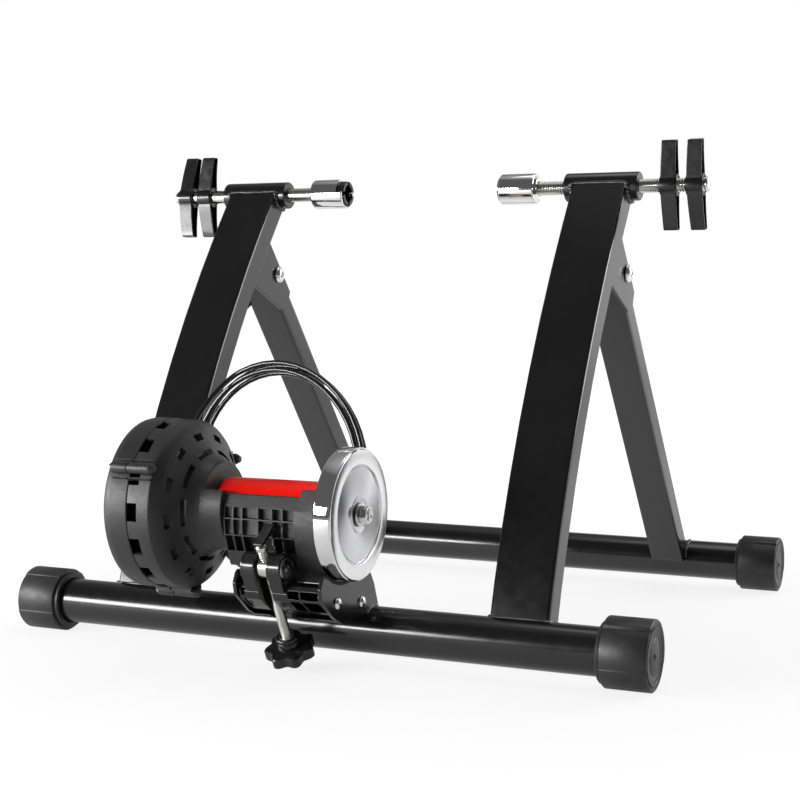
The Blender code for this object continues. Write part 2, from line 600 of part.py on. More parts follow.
def housing():
    body = prism("roller_housing", housing_outline(COLLAR_LIP_Z), HOUSE_X0, HOUSE_X1, "shell",
                 at(0, HINGE_Y, HINGE_Z))
    low, front, back = AXLE_Z + LIP_Z, AXLE_Y - 0.05, AXLE_Y - 0.01
    above = [(front, low), (back, low), (back, AXLE_Z + 0.03), (front, AXLE_Z + 0.03)]
    combine(body, prism("lip_cut", above, HOUSE_X0 - 0.001, COLLAR_X + 0.0025))
    combine(body, pockets())
    room = EAR_OUT + 0.0020
    combine(body, cylinder_tool("ear_room", at(-room, TRUNNION_Y, TRUNNION_Z), (1, 0, 0), 2 * room,
                                EAR_ROOM, 20))
    for form in (hinge_arm(), screw_lug(), end_web()):
        combine(body, form, "UNION")
    combine(body, cylinder_tool("house_bore", at(BRACKET_X0, HINGE_Y, HINGE_Z), (1, 0, 0),
                                BRACKET_X1 - BRACKET_X0, HINGE_R + GAP, 20))
    return body


def pockets():
    """Cores between the ribs of the housing's front, in five columns and three rows."""
    bm = bmesh.new()
    columns = ((HOUSE_X0 + 0.0016, -0.0337), (-0.0321, -0.0258), (-0.0242, 0.0008), (0.0024, 0.0092),
               (0.0108, COLLAR_X - 0.0008))
    rows = ((0.0040, -0.0044, -0.0270, 0.0), (-0.0056, -0.0176, -0.0266, 0.0),
            (-0.0188, -0.0310, -0.0215, 0.0030))
    front = AXLE_Y - 0.045
    for x0, x1 in columns:
        for top, low, back, slope in rows:
            prism_into(bm, [(front, AXLE_Z + low), (AXLE_Y + back + slope, AXLE_Z + low),
                            (AXLE_Y + back, AXLE_Z + top), (front, AXLE_Z + top)], x0, x1)
    return finish("pocket_cuts", bm, None)


def hinge_arm():
    outline = [(AXLE_Y - 0.004, AXLE_Z - 0.040), (AXLE_Y + 0.016, AXLE_Z - 0.036),
               (HINGE_Y + 0.005, HINGE_Z + 0.0075)]
    outline += arc(HINGE_Y, HINGE_Z, HINGE_BOSS_R, 40, -120, 9)
    outline += [(AXLE_Y + 0.010, AXLE_Z - 0.0490), (AXLE_Y - 0.004, AXLE_Z - 0.0440)]
    return prism("hinge_arm", outline, ARM_X0, ARM_X1)


def screw_lug():
    """Nose under the front wall that the tilt screw pushes on, its face square to the screw."""
    tip = Vector((0, TRUNNION_Y, TRUNNION_Z)) + SCREW_DIR * (SCREW_UP + PAD_T + 2 * GAP)
    flat = Vector((0, SCREW_DIR.z, -SCREW_DIR.y))
    low, high = tip - flat * 0.0085, tip + flat * 0.0220
    outer = low + SCREW_DIR * 0.0050
    root = (AXLE_Y - 0.0262, AXLE_Z - 0.0030)
    outline = [(low.y, low.z), (high.y, high.z), root, (outer.y, outer.z)]
    return prism("screw_lug_core", outline, -LUG_HALF, LUG_HALF)


def end_web():
    """Bearing wall under the collar, beside the flywheel."""
    ring = arc(AXLE_Y, AXLE_Z, 0.0290, 200, 352, 12)
    return prism("end_web", ring + arc(AXLE_Y, AXLE_Z, WEB_R, 352, 200, 8), WEB_X0, HOUSE_X1)


def unit_bracket():
    """U-shaped steel plate welded on the front tube: two cheeks with a curved top under the flywheel."""
    outline = [(-0.0895, 0.0370), (-0.0918, 0.0465), (-0.0880, 0.0545)]
    outline += arc(AXLE_Y, AXLE_Z, FLY_R + 0.0033, 231.5, 300, 14)
    outline += [(-0.0047, 0.0472), (0.0020, 0.0380), (0.0095, 0.0205)]
    outline += arc(0, 0, TUBE_R + GAP, 60, 132, 10)
    outline += [(-0.0158, 0.0146), (-0.0560, 0.0146), (-0.0700, 0.0215)]
    body = prism("unit_bracket", outline, BRACKET_X0, BRACKET_X1, "powder", at(0, 0, TUBE_R))
    inside = [(-0.1100, 0.0178), (-0.0100, 0.0178), (-0.0040, 0.0196), (0.0300, 0.0196), (0.0300, 0.0900),
              (-0.1100, 0.0900)]
    combine(body, prism("bracket_inside", inside, BRACKET_X0 + PLATE, BRACKET_X1 - PLATE))
    slot = [(-0.1000, 0.0080), (-0.0500, 0.0080), (-0.0500, 0.0260), (-0.1000, 0.0260)]
    combine(body, prism("bracket_slot", slot, -0.0100, 0.0100))
    for i, (y, z) in enumerate(BRACKET_SCREWS):
        combine(body, cylinder_tool(f"bracket_hole_{i}", at(BRACKET_X0 - 0.01, y, z), (1, 0, 0), 0.10,
                                    CHEEK_HOLE_R, 12))
    return body


def mount_block():
    """Plastic block between the bracket's cheeks, with the tilt screw's ears and the rear hinge lugs."""
    x0, x1 = BRACKET_X0 + PLATE + GAP, BRACKET_X1 - PLATE - GAP
    outline = [(-0.0560, 0.0182), (-0.0125, 0.0182), (-0.0045, 0.0200), (0.0020, 0.0250), (0.0012, 0.0440)]
    outline += arc(HINGE_Y, HINGE_Z, HINGE_BOSS_R, 5, 150, 8)
    outline += [(-0.0240, 0.0395), (-0.0700, 0.0400), (-0.0850, 0.0470), (-0.0880, 0.0400),
                (-0.0850, 0.0340), (-0.0690, 0.0235)]
    body = prism("mount_block", outline, x0, x1, "block", at(0, TRUNNION_Y, TRUNNION_Z))
    slot = [(-0.0320, 0.0250), (0.0150, 0.0250), (0.0150, 0.0700), (-0.0320, 0.0700)]
    combine(body, prism("hinge_slot", slot, ARM_X0 - ARM_PLAY, ARM_X1 + ARM_PLAY))
    combine(body, mount_ribs(x0, x1))
    combine(body, ears(), "UNION")
    combine(body, screw_slot())
    combine(body, cylinder_tool("ear_bore", at(-0.03, TRUNNION_Y, TRUNNION_Z), (1, 0, 0), 0.06,
                                TRUNNION_R + GAP, 20))
    combine(body, cylinder_tool("hinge_bore", at(x0 - 0.01, HINGE_Y, HINGE_Z), (1, 0, 0), 0.10,
                                HINGE_R + GAP, 16))
    for i, (y, z) in enumerate(BRACKET_SCREWS):
        for side, x, way in (("r", x1, 1), ("l", x0, -1)):
            combine(body, cylinder_tool(f"block_hole_{side}{i}", at(x - way * 0.0085, y, z), (way, 0, 0),
                                        0.02, CHEEK_THREAD_R, 12))
    return body


def mount_ribs(x0, x1):
    """Cores taken out of the block's front so that ribs stand between them."""
    bm = bmesh.new()
    for a, b in ((x0 + 0.0020, -0.0190), (0.0190, 0.0285), (0.0303, x1 - 0.0020)):
        prism_into(bm, [(-0.0950, 0.0300), (-0.0500, 0.0210), (-0.0500, 0.0285), (-0.0950, 0.0360)], a, b)
        prism_into(bm, [(-0.0950, 0.0380), (-0.0500, 0.0305), (-0.0500, 0.0375), (-0.0950, 0.0440)], a, b)
    return finish("mount_cores", bm, None)


def ears():
    """The pair of round ears that hold the screw's cross barrel, on arms that run down into the block."""
    bm = bmesh.new()
    arm = [(-0.0905, 0.0440), (-0.0780, 0.0290), (-0.0600, 0.0200), (-0.0480, 0.0200), (-0.0560, 0.0400),
           (-0.0690, 0.0490)]
    outline = arc(TRUNNION_Y, TRUNNION_Z, EAR_R, -20, 205, 12) + arm
    prism_into(bm, outline, -EAR_OUT, -EAR_IN)
    prism_into(bm, outline, EAR_IN, EAR_OUT)
    return finish("ear_pair", bm, None)


def screw_slot():
    """Room between the ears for the screw, which leans as the unit tilts."""
    c = Vector((0, TRUNNION_Y, TRUNNION_Z))
    across = Vector((0, SCREW_DIR.z, -SCREW_DIR.y))
    a, b = c - SCREW_DIR * 0.060, c + SCREW_DIR * 0.030
    pts = [a + across * 0.0095, b + across * 0.0095, b - across * 0.040, a - across * 0.040]
    return prism("screw_slot", [(p.y, p.z) for p in pts], -EAR_IN, EAR_IN)


def cheek_screw(name, x, sign, y, z):
    lathe(name, at(x, y, z), (sign, 0, 0),
          [(-CHEEK_SCREW_L, 0), (-CHEEK_SCREW_L, CHEEK_SCREW_R), (GAP, CHEEK_SCREW_R), (GAP, 0.0046),
           (0.0016, 0.0044), (0.0030, 0.0024), (0.0030, 0)], 12, "zinc")


def rod(name, base, direction, length, r, edge, origin=None):
    """Round bar with both ends chamfered."""
    profile = [(0, 0), (0, r - edge), (edge, r), (length - edge, r), (length, r - edge), (length, 0)]
    return lathe(name, base, direction, profile, 20, "zinc", origin=origin)


def ring(name, x0, x1, bore, outer, sides, look):
    """Plain ring on the unit's axle."""
    profile = [(0, bore), (0, outer), (x1 - x0, outer), (x1 - x0, bore)]
    return lathe(name, axle(x0), (1, 0, 0), profile, sides, look, hollow=True)


def flywheel():
    """Machined disc: hub ring, recessed web, groove and rim on its outer face."""
    w, r, bore, edge = FLY_X1 - FLY_X0, FLY_R, SHAFT_R + GAP, 0.0018
    web, groove = w - 0.0008, w - 0.0018
    face = [(w, bore), (w, 0.0130), (web, 0.0132), (web, 0.0366), (groove, 0.0370), (groove, 0.0386),
            (w, 0.0390), (w, r - edge), (w - edge, r), (0, r), (0, bore)]
    lathe("flywheel", axle(FLY_X0), (1, 0, 0), face, 32, "aluminium", hollow=True)


def rotor():
    rod("axle_shaft", axle(SHAFT_X0), (1, 0, 0), SHAFT_L, SHAFT_R, SHAFT_EDGE)
    bore, length, edge = SHAFT_R + GAP, ROLLER_X1 - ROLLER_X0, ROLLER_EDGE
    lathe("roller", axle(ROLLER_X0), (1, 0, 0),
          [(0, bore), (0, ROLLER_R - edge), (edge, ROLLER_R), (length - edge, ROLLER_R),
           (length, ROLLER_R - edge), (length, bore)], 32, "roller", hollow=True)
    flywheel()
    ring("flywheel_washer", FLY_X1 + GAP, FLY_X1 + GAP + WASHER_T, bore, WASHER_R, 18, "zinc")
    nut("flywheel_nut", axle(FLY_X1 + 2 * GAP + WASHER_T), (1, 0, 0), 0.0082, 0.0060, SHAFT_R)
    ring("bearing_l", SEAT_X0, SEAT_X1, bore, SEAT_R - GAP, 18, "zinc")
    ring("bearing_r", WEB_X0, HOUSE_X1, bore, WEB_R - GAP, 18, "zinc")
    lathe("rotor_disc", axle(ROTOR_X0), (1, 0, 0),
          [(0, bore), (0, ROTOR_R), (ROTOR_T, ROTOR_R), (ROTOR_T, ROTOR_HUB_R), (ROTOR_HUB_L, ROTOR_HUB_R),
           (ROTOR_HUB_L, bore)], 20, "aluminium", hollow=True)
    magnet_carrier()


def magnet_carrier():
    """Plate on the cover's post with a ring of round magnets facing the rotor."""
    carrier = ring("magnet_carrier", MAGNET_X0, MAGNET_X0 + CARRIER_T, POST_R + GAP, CARRIER_R, 16, "block")
    for i in range(MAGNETS):
        a = 2 * math.pi * i / MAGNETS
        spot = at(MAGNET_X0 + 0.0040, AXLE_Y + 0.040 * math.cos(a), AXLE_Z + 0.040 * math.sin(a))
        combine(carrier, cylinder_tool(f"magnet_{i}", spot, (1, 0, 0), MAGNET_L, MAGNET_R, 8), "UNION")


def tilt_screw():
    centre = at(0, TRUNNION_Y, TRUNNION_Z)
    barrel = rod("trunnion", centre - Vector((EAR_OUT, 0, 0)), (1, 0, 0), 2 * EAR_OUT, TRUNNION_R, 0.0006,
                 origin=centre)
    combine(barrel, cylinder_tool("trunnion_bore", centre - SCREW_DIR * 0.02, SCREW_DIR, 0.04,
                                  SCREW_R + GAP, 20))
    top = centre + SCREW_DIR * SCREW_UP
    chamfer = 0.0015
    lathe("thrust_pad", top + SCREW_DIR * GAP, SCREW_DIR,
          [(0, 0), (0, PAD_R), (PAD_T - chamfer, PAD_R), (PAD_T, PAD_R - chamfer), (PAD_T, 0)], 16, "zinc")
    span = SCREW_UP + SCREW_DOWN + KNOB_NECK
    lathe("tilt_screw_rod", top, -SCREW_DIR,
          [(0, 0), (0, SCREW_R - 0.0006), (0.0006, SCREW_R), (span, SCREW_R), (span, 0)], 20, "zinc",
          origin=top)
    star_knob(centre - SCREW_DIR * SCREW_DOWN)


def star_knob(start):
    """Lobed knob on a round neck, with a blind bore for the screw."""
    bm = bmesh.new()
    d, u, v = basis(-SCREW_DIR)
    n = KNOB_LOBES * 5
    wave = 0.0017
    stations = ((KNOB_NECK - 0.0005, 0.86), (KNOB_NECK + 0.0006, 0.97), (KNOB_NECK + KNOB_T - 0.0015, 1.0),
                (KNOB_NECK + KNOB_T, 0.93))
    rings = []
    for s, k in stations:
        rows = []
        for i in range(n):
            a = 2 * math.pi * i / n
            r = (KNOB_R - wave + wave * math.cos(KNOB_LOBES * a)) * k
            rows.append(bm.verts.new(start + d * s + (u * math.cos(a) + v * math.sin(a)) * r))
        rings.append(rows)
    for a, b in zip(rings, rings[1:]):
        for i in range(n):
            j = (i + 1) % n
            bm.faces.new([a[i], a[j], b[j], b[i]])
    bm.faces.new(rings[0])
    bm.faces.new(list(reversed(rings[-1])))
    knob = finish("star_knob", bm, "knob", start)
    length = KNOB_NECK + 0.004
    neck = lathe("star_neck", start, d, [(0, 0), (0, KNOB_NECK_R - 0.001), (0.001, KNOB_NECK_R),
                                         (length, KNOB_NECK_R + 0.0006), (length, 0)], 16, None)
    combine(knob, tool(neck), "UNION")
    combine(knob, cylinder_tool("star_bore", start - d * 0.005, d, 0.005 + KNOB_NECK + 2 * GAP,
                                SCREW_R + GAP, 16))
    return knob


def coil_point(t):
    """Point of the coil after t turns: it winds inwards in one layer and outwards in the next."""
    half = LOOPS / 2
    inward = t if t < half else LOOPS - t
    r = LOOP_R0 - LOOP_STEP * inward
    s = min(max((t - half) / 0.36 + 0.5, 0.0), 1.0)
    depth = LAYER * s * s * (3 - 2 * s)
    a = math.pi - 2 * math.pi * t
    return coil_plane(r * math.cos(a), r * math.sin(a), depth)


def coil_plane(x, z, depth):
    """A point of the coil's leaning plane, from the coil's centre."""
    return at(COIL_X + x, COIL_Y + COIL_YAW * x + COIL_LEAN * z + depth, COIL_Z + z)


def hermite(p0, m0, p1, m1, n):
    out = []
    for i in range(1, n):
        t = i / n
        a, b = 2 * t ** 3 - 3 * t ** 2 + 1, t ** 3 - 2 * t ** 2 + t
        c, d = -2 * t ** 3 + 3 * t ** 2, t ** 3 - t ** 2
        out.append(p0 * a + m0 * b + p1 * c + m1 * d)
    return out


def cable_points():
    a = math.radians(GLAND_ANGLE)
    out = Vector((0, math.cos(a), math.sin(a)))
    exit_at = axle(GLAND_X) + out * (DRUM_R + 0.0090 + GAP)
    lead = [exit_at, exit_at + out * CABLE_LEAD]
    first, last = 0.18, LOOPS - 0.42
    steps = round((last - first) * 24)
    coil = [coil_point(first + (last - first) * i / steps) for i in range(steps + 1)]
    tangent = (coil[1] - coil[0]).normalized()
    joined = lead + hermite(lead[-1], out * 0.050, coil[0], tangent * 0.050, 6) + coil
    onward = (coil[-1] - coil[-2]).normalized()
    tail = TAIL.normalized()
    stop = at(*TAIL_START)
    joined += hermite(coil[-1], (onward + Vector((0, 0.45, 0))) * 0.045, stop, tail * 0.050, 7)
    end = stop + tail * CABLE_LEAD
    return joined + [stop, end], exit_at, out, end, tail


def least_gap(points):
    """Least clear distance between stretches of the tube that aren't neighbours along it."""
    worst = 1.0
    for i, p in enumerate(points):
        for j in range(i + 6, len(points) - 1):
            a, b = points[j], points[j + 1]
            ab = b - a
            k = min(max((p - a).dot(ab) / ab.length_squared, 0), 1)
            worst = min(worst, (p - (a + ab * k)).length)
    return worst - 2 * CABLE_R


def cable():
    points, exit_at, out, end, tail = cable_points()
    curve = bpy.data.curves.new("cable_coil", "CURVE")
    curve.dimensions = "3D"
    curve.bevel_depth = CABLE_R
    curve.bevel_resolution = 1
    curve.use_fill_caps = True
    curve.twist_mode = "MINIMUM"
    spline = curve.splines.new("POLY")
    spline.points.add(len(points) - 1)
    origin = exit_at
    for slot, p in zip(spline.points, points):
        slot.co = (*(p - origin), 1)
    obj = bpy.data.objects.new("cable_coil", curve)
    obj.location = origin
    bpy.context.scene.collection.objects.link(obj)
    curve.materials.append(material("cable_coil", *LOOKS["cable"]))
    run = sum((b - a).length for a, b in zip(points, points[1:]))
    print(f"cable {run:.3f} m, {len(points)} points, least self-gap {1000 * least_gap(points):.2f} mm")
    lathe("cable_gland", exit_at - out * (GLAND_L + GAP), out,
          [(0, 0), (0, 0.0050), (0.0052, 0.0050), (0.0062, 0.0036), (GLAND_L, 0.0034), (GLAND_L, 0)], 16,
          "knob")
    lathe("cable_ferrule", end + tail * GAP, tail,
          [(0, 0), (0, FERRULE_R), (FERRULE_L, FERRULE_R), (FERRULE_L, 0)], 12, "zinc")
    remote(end + tail * (FERRULE_L + 2 * GAP), tail)
    cable_tie()


def remote(base, tail):
    """Handlebar lever on the cable's far end: a clamp body and its thumb lever."""
    d, u, v = basis(tail)
    body = lathe("remote_body", base, tail,
                 [(0, 0), (0, 0.0062), (0.0020, 0.0075), (0.0080, 0.0095), (REMOTE_L - 0.0020, 0.0095),
                  (REMOTE_L, 0.0080), (REMOTE_L, 0)], 16, "knob")
    bore, rim, width = 0.0114, 0.0140, 0.0100
    start = base + d * 0.0110 + u * 0.0190
    band = lathe("remote_band", start, tail, [(0, bore), (0, rim), (width, rim), (width, bore)], 16, None,
                 hollow=True)
    combine(body, tool(band), "UNION")
    lever_at = base + d * (REMOTE_L + GAP)
    lever = lathe("remote_lever", lever_at, tail,
                  [(0, 0), (0, 0.0085), (0.0040, 0.0085), (0.0050, 0.0070), (0.0050, 0)], 16, "knob")
    bm = bmesh.new()
    strip_into(bm, [[lever_at + d * s - u * reach + v * w for s, w in
                     ((0.0005, -half), (0.0045, -half), (0.0045, half), (0.0005, half))]
                    for reach, half in ((0.0030, 0.0050), (0.0180, 0.0040), (0.0220, 0.0034))])
    combine(lever, tool(finish("remote_blade", bm, None)), "UNION")


def cable_tie():
    """Strap round the bundle, behind the drum."""
    a, play, wall, half = math.radians(200), CABLE_R + 0.0005, 0.0012, 0.0045
    radial = Vector((math.cos(a), 0, math.sin(a)))
    along = Vector((-math.sin(a), 0, math.cos(a)))
    deep = Vector((0, 1, 0))
    slope = COIL_YAW * math.cos(a) + COIL_LEAN * math.sin(a)
    centre = coil_plane(0, 0, 0)
    bm = bmesh.new()
    rows = []
    for s in (-half, half):
        for grow in (play, play + wall):
            lo, hi = LOOP_R0 - 2.15 * LOOP_STEP - grow, LOOP_R0 - 0.85 * LOOP_STEP + grow
            near, far = -grow - 0.0008, LAYER + grow + 0.0008
            rows.append([bm.verts.new(centre + along * s + radial * q + deep * (slope * q + k))
                         for q, k in ((lo, near), (hi, near), (hi, far), (lo, far))])
    inner0, outer0, inner1, outer1 = rows
    for i in range(4):
        j = (i + 1) % 4
        for a0, b0 in ((outer0, outer1), (inner0, inner1), (inner0, outer0), (inner1, outer1)):
            bm.faces.new([a0[i], a0[j], b0[j], b0[i]])
    finish("cable_tie", bm, "knob", centre)


def stand():
    base_tube("front_base_tube", 0)
    base_tube("rear_base_tube", TUBE_SPACING)
    for side, sign in (("l", -1), ("r", 1)):
        front_leg(side, sign)
        sleeve(side, sign)
        pivot_channel(side, sign)
        pivot_bolt(side, sign)
        rear_leg(side, sign)
    level_cap("cap_front_r", 1, 0, -31.6)
    level_cap("cap_rear_r", 1, TUBE_SPACING, -51.0)
    level_cap("cap_front_l", -1, 0, -40.8)
    level_cap("cap_rear_l", -1, TUBE_SPACING, -45.0)


def clamps():
    for side, sign, name in (("left", -1, "left_rod"), ("right", 1, "right_screw")):
        clamp_cup(side, sign)
        inner = LEG_X - CUP_REACH[side] + CUP_L - CUP_SEAT + GAP
        length = LEG_X + ROD_REACH[side] - inner
        rod(name, at(sign * inner, HEAD_Y, HEAD_Z), (sign, 0, 0), length, ROD_R, 0.0012)
    wing_knob("left_knob_inner", 0.0583, -1, 0.0, 0.0012)
    wing_knob("left_knob_outer", 0.0795, -1, -4.0, -0.0028)
    wing_knob("right_knob_inner", 0.0595, 1, 2.0, -0.0030)
    wing_knob("right_knob_outer", 0.0825, 1, -9.0, -0.0036)


def unit():
    cover, shell = drum_cover(), drum_shell()
    drum_boss(shell, cover)
    housing()
    rotor()
    unit_bracket()
    mount_block()
    pin_l = BRACKET_X1 - BRACKET_X0 - 2 * PLATE - 4 * GAP
    lathe("hinge_pin", at(BRACKET_X0 + PLATE + 2 * GAP, HINGE_Y, HINGE_Z), (1, 0, 0),
          [(0, 0), (0, HINGE_R), (pin_l, HINGE_R), (pin_l, 0)], 20, "zinc")
    for i, (y, z) in enumerate(BRACKET_SCREWS):
        cheek_screw(f"cheek_screw_r{i + 1}", BRACKET_X1, 1, y, z)
        cheek_screw(f"cheek_screw_l{i + 1}", BRACKET_X0, -1, y, z)
    tilt_screw()
    cable()


cleared()
stand()
clamps()
unit()
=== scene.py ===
import json
import math

import bmesh
import bpy
from mathutils import Matrix, Vector, noise

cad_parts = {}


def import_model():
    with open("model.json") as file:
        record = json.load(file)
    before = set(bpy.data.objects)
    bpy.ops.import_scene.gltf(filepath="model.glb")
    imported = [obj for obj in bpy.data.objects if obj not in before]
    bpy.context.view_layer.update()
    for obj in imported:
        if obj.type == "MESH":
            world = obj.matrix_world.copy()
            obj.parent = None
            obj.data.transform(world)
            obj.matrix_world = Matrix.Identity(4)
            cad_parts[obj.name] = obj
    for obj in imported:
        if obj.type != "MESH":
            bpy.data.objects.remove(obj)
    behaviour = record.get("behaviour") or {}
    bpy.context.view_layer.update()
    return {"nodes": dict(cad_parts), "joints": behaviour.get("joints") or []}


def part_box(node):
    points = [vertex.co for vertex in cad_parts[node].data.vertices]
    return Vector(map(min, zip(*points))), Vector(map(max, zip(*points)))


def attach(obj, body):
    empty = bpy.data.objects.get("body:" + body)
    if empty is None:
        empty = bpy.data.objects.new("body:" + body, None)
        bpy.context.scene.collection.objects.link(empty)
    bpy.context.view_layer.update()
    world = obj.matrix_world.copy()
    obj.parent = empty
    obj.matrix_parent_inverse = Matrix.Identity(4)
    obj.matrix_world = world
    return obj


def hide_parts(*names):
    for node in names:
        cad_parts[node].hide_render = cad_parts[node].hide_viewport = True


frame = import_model()


# Places read from the frame

def centre(name):
    low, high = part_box(name)
    return (low + high) / 2


def size(name):
    low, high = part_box(name)
    return high - low


def joint(name):
    found = [j for j in frame["joints"] if j["name"] == name][0]
    return Vector(found["pos_m"]), Vector(found["axis"])


FRONT_TUBE, REAR_TUBE = centre("front_base_tube"), centre("rear_base_tube")
AXLE = joint("roller_spin")[0]
TRUNNION, SCREW_DIR = joint("star_knob_turn")
HEAD = joint("left_clamp_slide")[0]
PIVOT = joint("rear_fold")[0]
X_AXIS = Vector((1, 0, 0))
TUBE_R = size("front_base_tube").z / 2
SLEEVE_R = size("sleeve_l").z / 2
GAP = 0.0003  # play between parts that turn or slide, as in the CAD
CRISP = 32.0  # degrees between two faces past which their edge stays sharp
HEX = math.pi / 6
MERGE, FLAT = 0.00001, math.radians(0.6)  # CAD facets: points this near are one, faces this flat are one


def at(x, y, z):
    """A point given from the front base tube's axis."""
    return Vector((x, FRONT_TUBE.y + y, FRONT_TUBE.z + z))


def axle(x):
    """A point on the roller's axis."""
    return Vector((x, AXLE.y, AXLE.z))


def head(x):
    """A point on the axis of the two clamps."""
    return Vector((x, HEAD.y, HEAD.z))


def spoke(degrees):
    """Unit vector away from the X axis, in degrees from +Y towards +Z."""
    a = math.radians(degrees)
    return Vector((0, math.cos(a), math.sin(a)))


def add(name, data):
    made = bpy.data.objects.new(name, data)
    bpy.context.scene.collection.objects.link(made)
    return made


# Camera, as the photograph was taken

def camera():
    yaw, pitch, roll = 0.42660, 0.05993, 0.00497
    spot = at(0.59294, -1.14411, 0.26146)
    ahead = Vector((-math.sin(yaw) * math.cos(pitch), math.cos(yaw) * math.cos(pitch), -math.sin(pitch)))
    right = Vector((math.cos(yaw), math.sin(yaw), 0))
    up = right.cross(ahead)
    right, up = right * math.cos(roll) + up * math.sin(roll), up * math.cos(roll) - right * math.sin(roll)
    turn = Matrix((right, up, -ahead)).transposed().to_4x4()
    data = bpy.data.cameras.new("camera")
    data.lens, data.sensor_width = 71.37, 36.0
    data.clip_start, data.clip_end = 0.01, 50.0
    made = add("camera", data)
    made.matrix_world = Matrix.Translation(spot) @ turn
    bpy.context.scene.camera = made


# Materials

def node(tree, kind, inputs=None, **settings):
    made = tree.nodes.new(kind)
    for key, value in settings.items():
        setattr(made, key, value)
    for key, value in (inputs or {}).items():
        if isinstance(value, bpy.types.NodeSocket):
            tree.links.new(value, made.inputs[key])
        else:
            made.inputs[key].default_value = value
    return made


def maths(tree, operation, a, b):
    return node(tree, "ShaderNodeMath", {0: a, 1: b}, operation=operation).outputs[0]


def object_place(tree):
    return node(tree, "ShaderNodeTexCoord").outputs["Object"]


def principled(name, color, metallic, rough, sockets):
    made = bpy.data.materials.new(name)
    made.use_nodes = True
    made.diffuse_color = (*color, 1)
    shader = made.node_tree.nodes["Principled BSDF"]
    shader.inputs["Base Color"].default_value = (*color, 1)
    shader.inputs["Metallic"].default_value = metallic
    shader.inputs["Roughness"].default_value = rough
    for key, value in sockets.items():
        shader.inputs[key].default_value = value
    return made, made.node_tree, shader


def mapped_noise(tree, scale, detail):
    """Noise in object space, in features per metre."""
    return node(tree, "ShaderNodeTexNoise", {"Vector": object_place(tree), "Scale": scale, "Detail": detail,
                                             "Roughness": 0.55}).outputs["Fac"]


def span(tree, value, low, high, to_low, to_high):
    return node(tree, "ShaderNodeMapRange", {"Value": value, "From Min": low, "From Max": high,
                                             "To Min": to_low, "To Max": to_high}).outputs["Result"]


def mix(tree, factor, a, b):
    made = node(tree, "ShaderNodeMix", {"Factor": factor}, data_type="RGBA")
    for key, value in ((6, a), (7, b)):
        if isinstance(value, bpy.types.NodeSocket):
            tree.links.new(value, made.inputs[key])
        else:
            made.inputs[key].default_value = (*value, 1)
    return made.outputs[2]


def worn_edges(tree, amount):
    """Nought on flat ground, rising on convex edges, broken up by noise."""
    point = node(tree, "ShaderNodeNewGeometry").outputs["Pointiness"]
    edge = span(tree, point, 0.515, 0.60, 0.0, amount)
    patchy = span(tree, mapped_noise(tree, 260.0, 4.0), 0.40, 0.62, 0.25, 1.0)
    return maths(tree, "MULTIPLY", edge, patchy)


def bump(tree, height, distance, strength=1.0, under=None):
    inputs = {"Height": height, "Distance": distance, "Strength": strength}
    if under is not None:
        inputs["Normal"] = under
    return node(tree, "ShaderNodeBump", inputs).outputs["Normal"]


def finish_of(name, color, metallic=0.0, rough=0.5, vary=0.12, vary_rough=0.05, grain=900.0, depth=0.00002,
              wear=None, worn=0.5, blotch=24.0, sockets=None):
    """A surface with cloudy colour, uneven gloss, a fine grain and worn edges."""
    made, tree, shader = principled(name, color, metallic, rough, sockets or {})
    cloud = span(tree, mapped_noise(tree, blotch, 4.0), 0.35, 0.65, 0.0, 1.0)
    dark, light = ([c * k for c in color] for k in (1 - vary, 1 + vary))
    shade = mix(tree, cloud, dark, light)
    if wear:
        shade = mix(tree, worn_edges(tree, worn), shade, wear)
    tree.links.new(shade, shader.inputs["Base Color"])
    gloss = span(tree, mapped_noise(tree, blotch * 7, 5.0), 0.3, 0.7, rough - vary_rough, rough + vary_rough)
    tree.links.new(gloss, shader.inputs["Roughness"])
    fine = mapped_noise(tree, grain, 2.0)
    coarse = bump(tree, mapped_noise(tree, grain / 6, 2.0), depth * 3, 0.35)
    tree.links.new(bump(tree, fine, depth, 1.0, coarse), shader.inputs["Normal"])
    return made


def turned_metal(name, color, rough, pitch, depth, anisotropic):
    """Metal faced on a lathe: fine rings about the unit's axle."""
    made, tree, shader = principled(name, color, 1.0, rough, {"Anisotropic": anisotropic})
    apart = node(tree, "ShaderNodeSeparateXYZ", {0: object_place(tree)})
    squares = [maths(tree, "POWER", maths(tree, "SUBTRACT", apart.outputs[key], origin), 2.0)
               for key, origin in (("Y", AXLE.y), ("Z", AXLE.z))]
    radius = maths(tree, "POWER", maths(tree, "ADD", *squares), 0.5)
    ring_at = maths(tree, "MULTIPLY", radius, 1.0 / pitch)
    rings = node(tree, "ShaderNodeTexNoise", {"W": ring_at, "Scale": 1.0, "Detail": 4.0},
                 noise_dimensions="1D").outputs["Fac"]
    shade = mix(tree, span(tree, rings, 0.3, 0.7, 0.0, 1.0), [c * 0.93 for c in color], color)
    gloss = span(tree, mapped_noise(tree, 30.0, 4.0), 0.3, 0.7, rough * 0.85, rough * 1.2)
    tree.links.new(shade, shader.inputs["Base Color"])
    tree.links.new(gloss, shader.inputs["Roughness"])
    tree.links.new(bump(tree, rings, depth), shader.inputs["Normal"])
    around = node(tree, "ShaderNodeTangent", direction_type="RADIAL", axis="X").outputs[0]
    tree.links.new(around, shader.inputs["Tangent"])
    return made


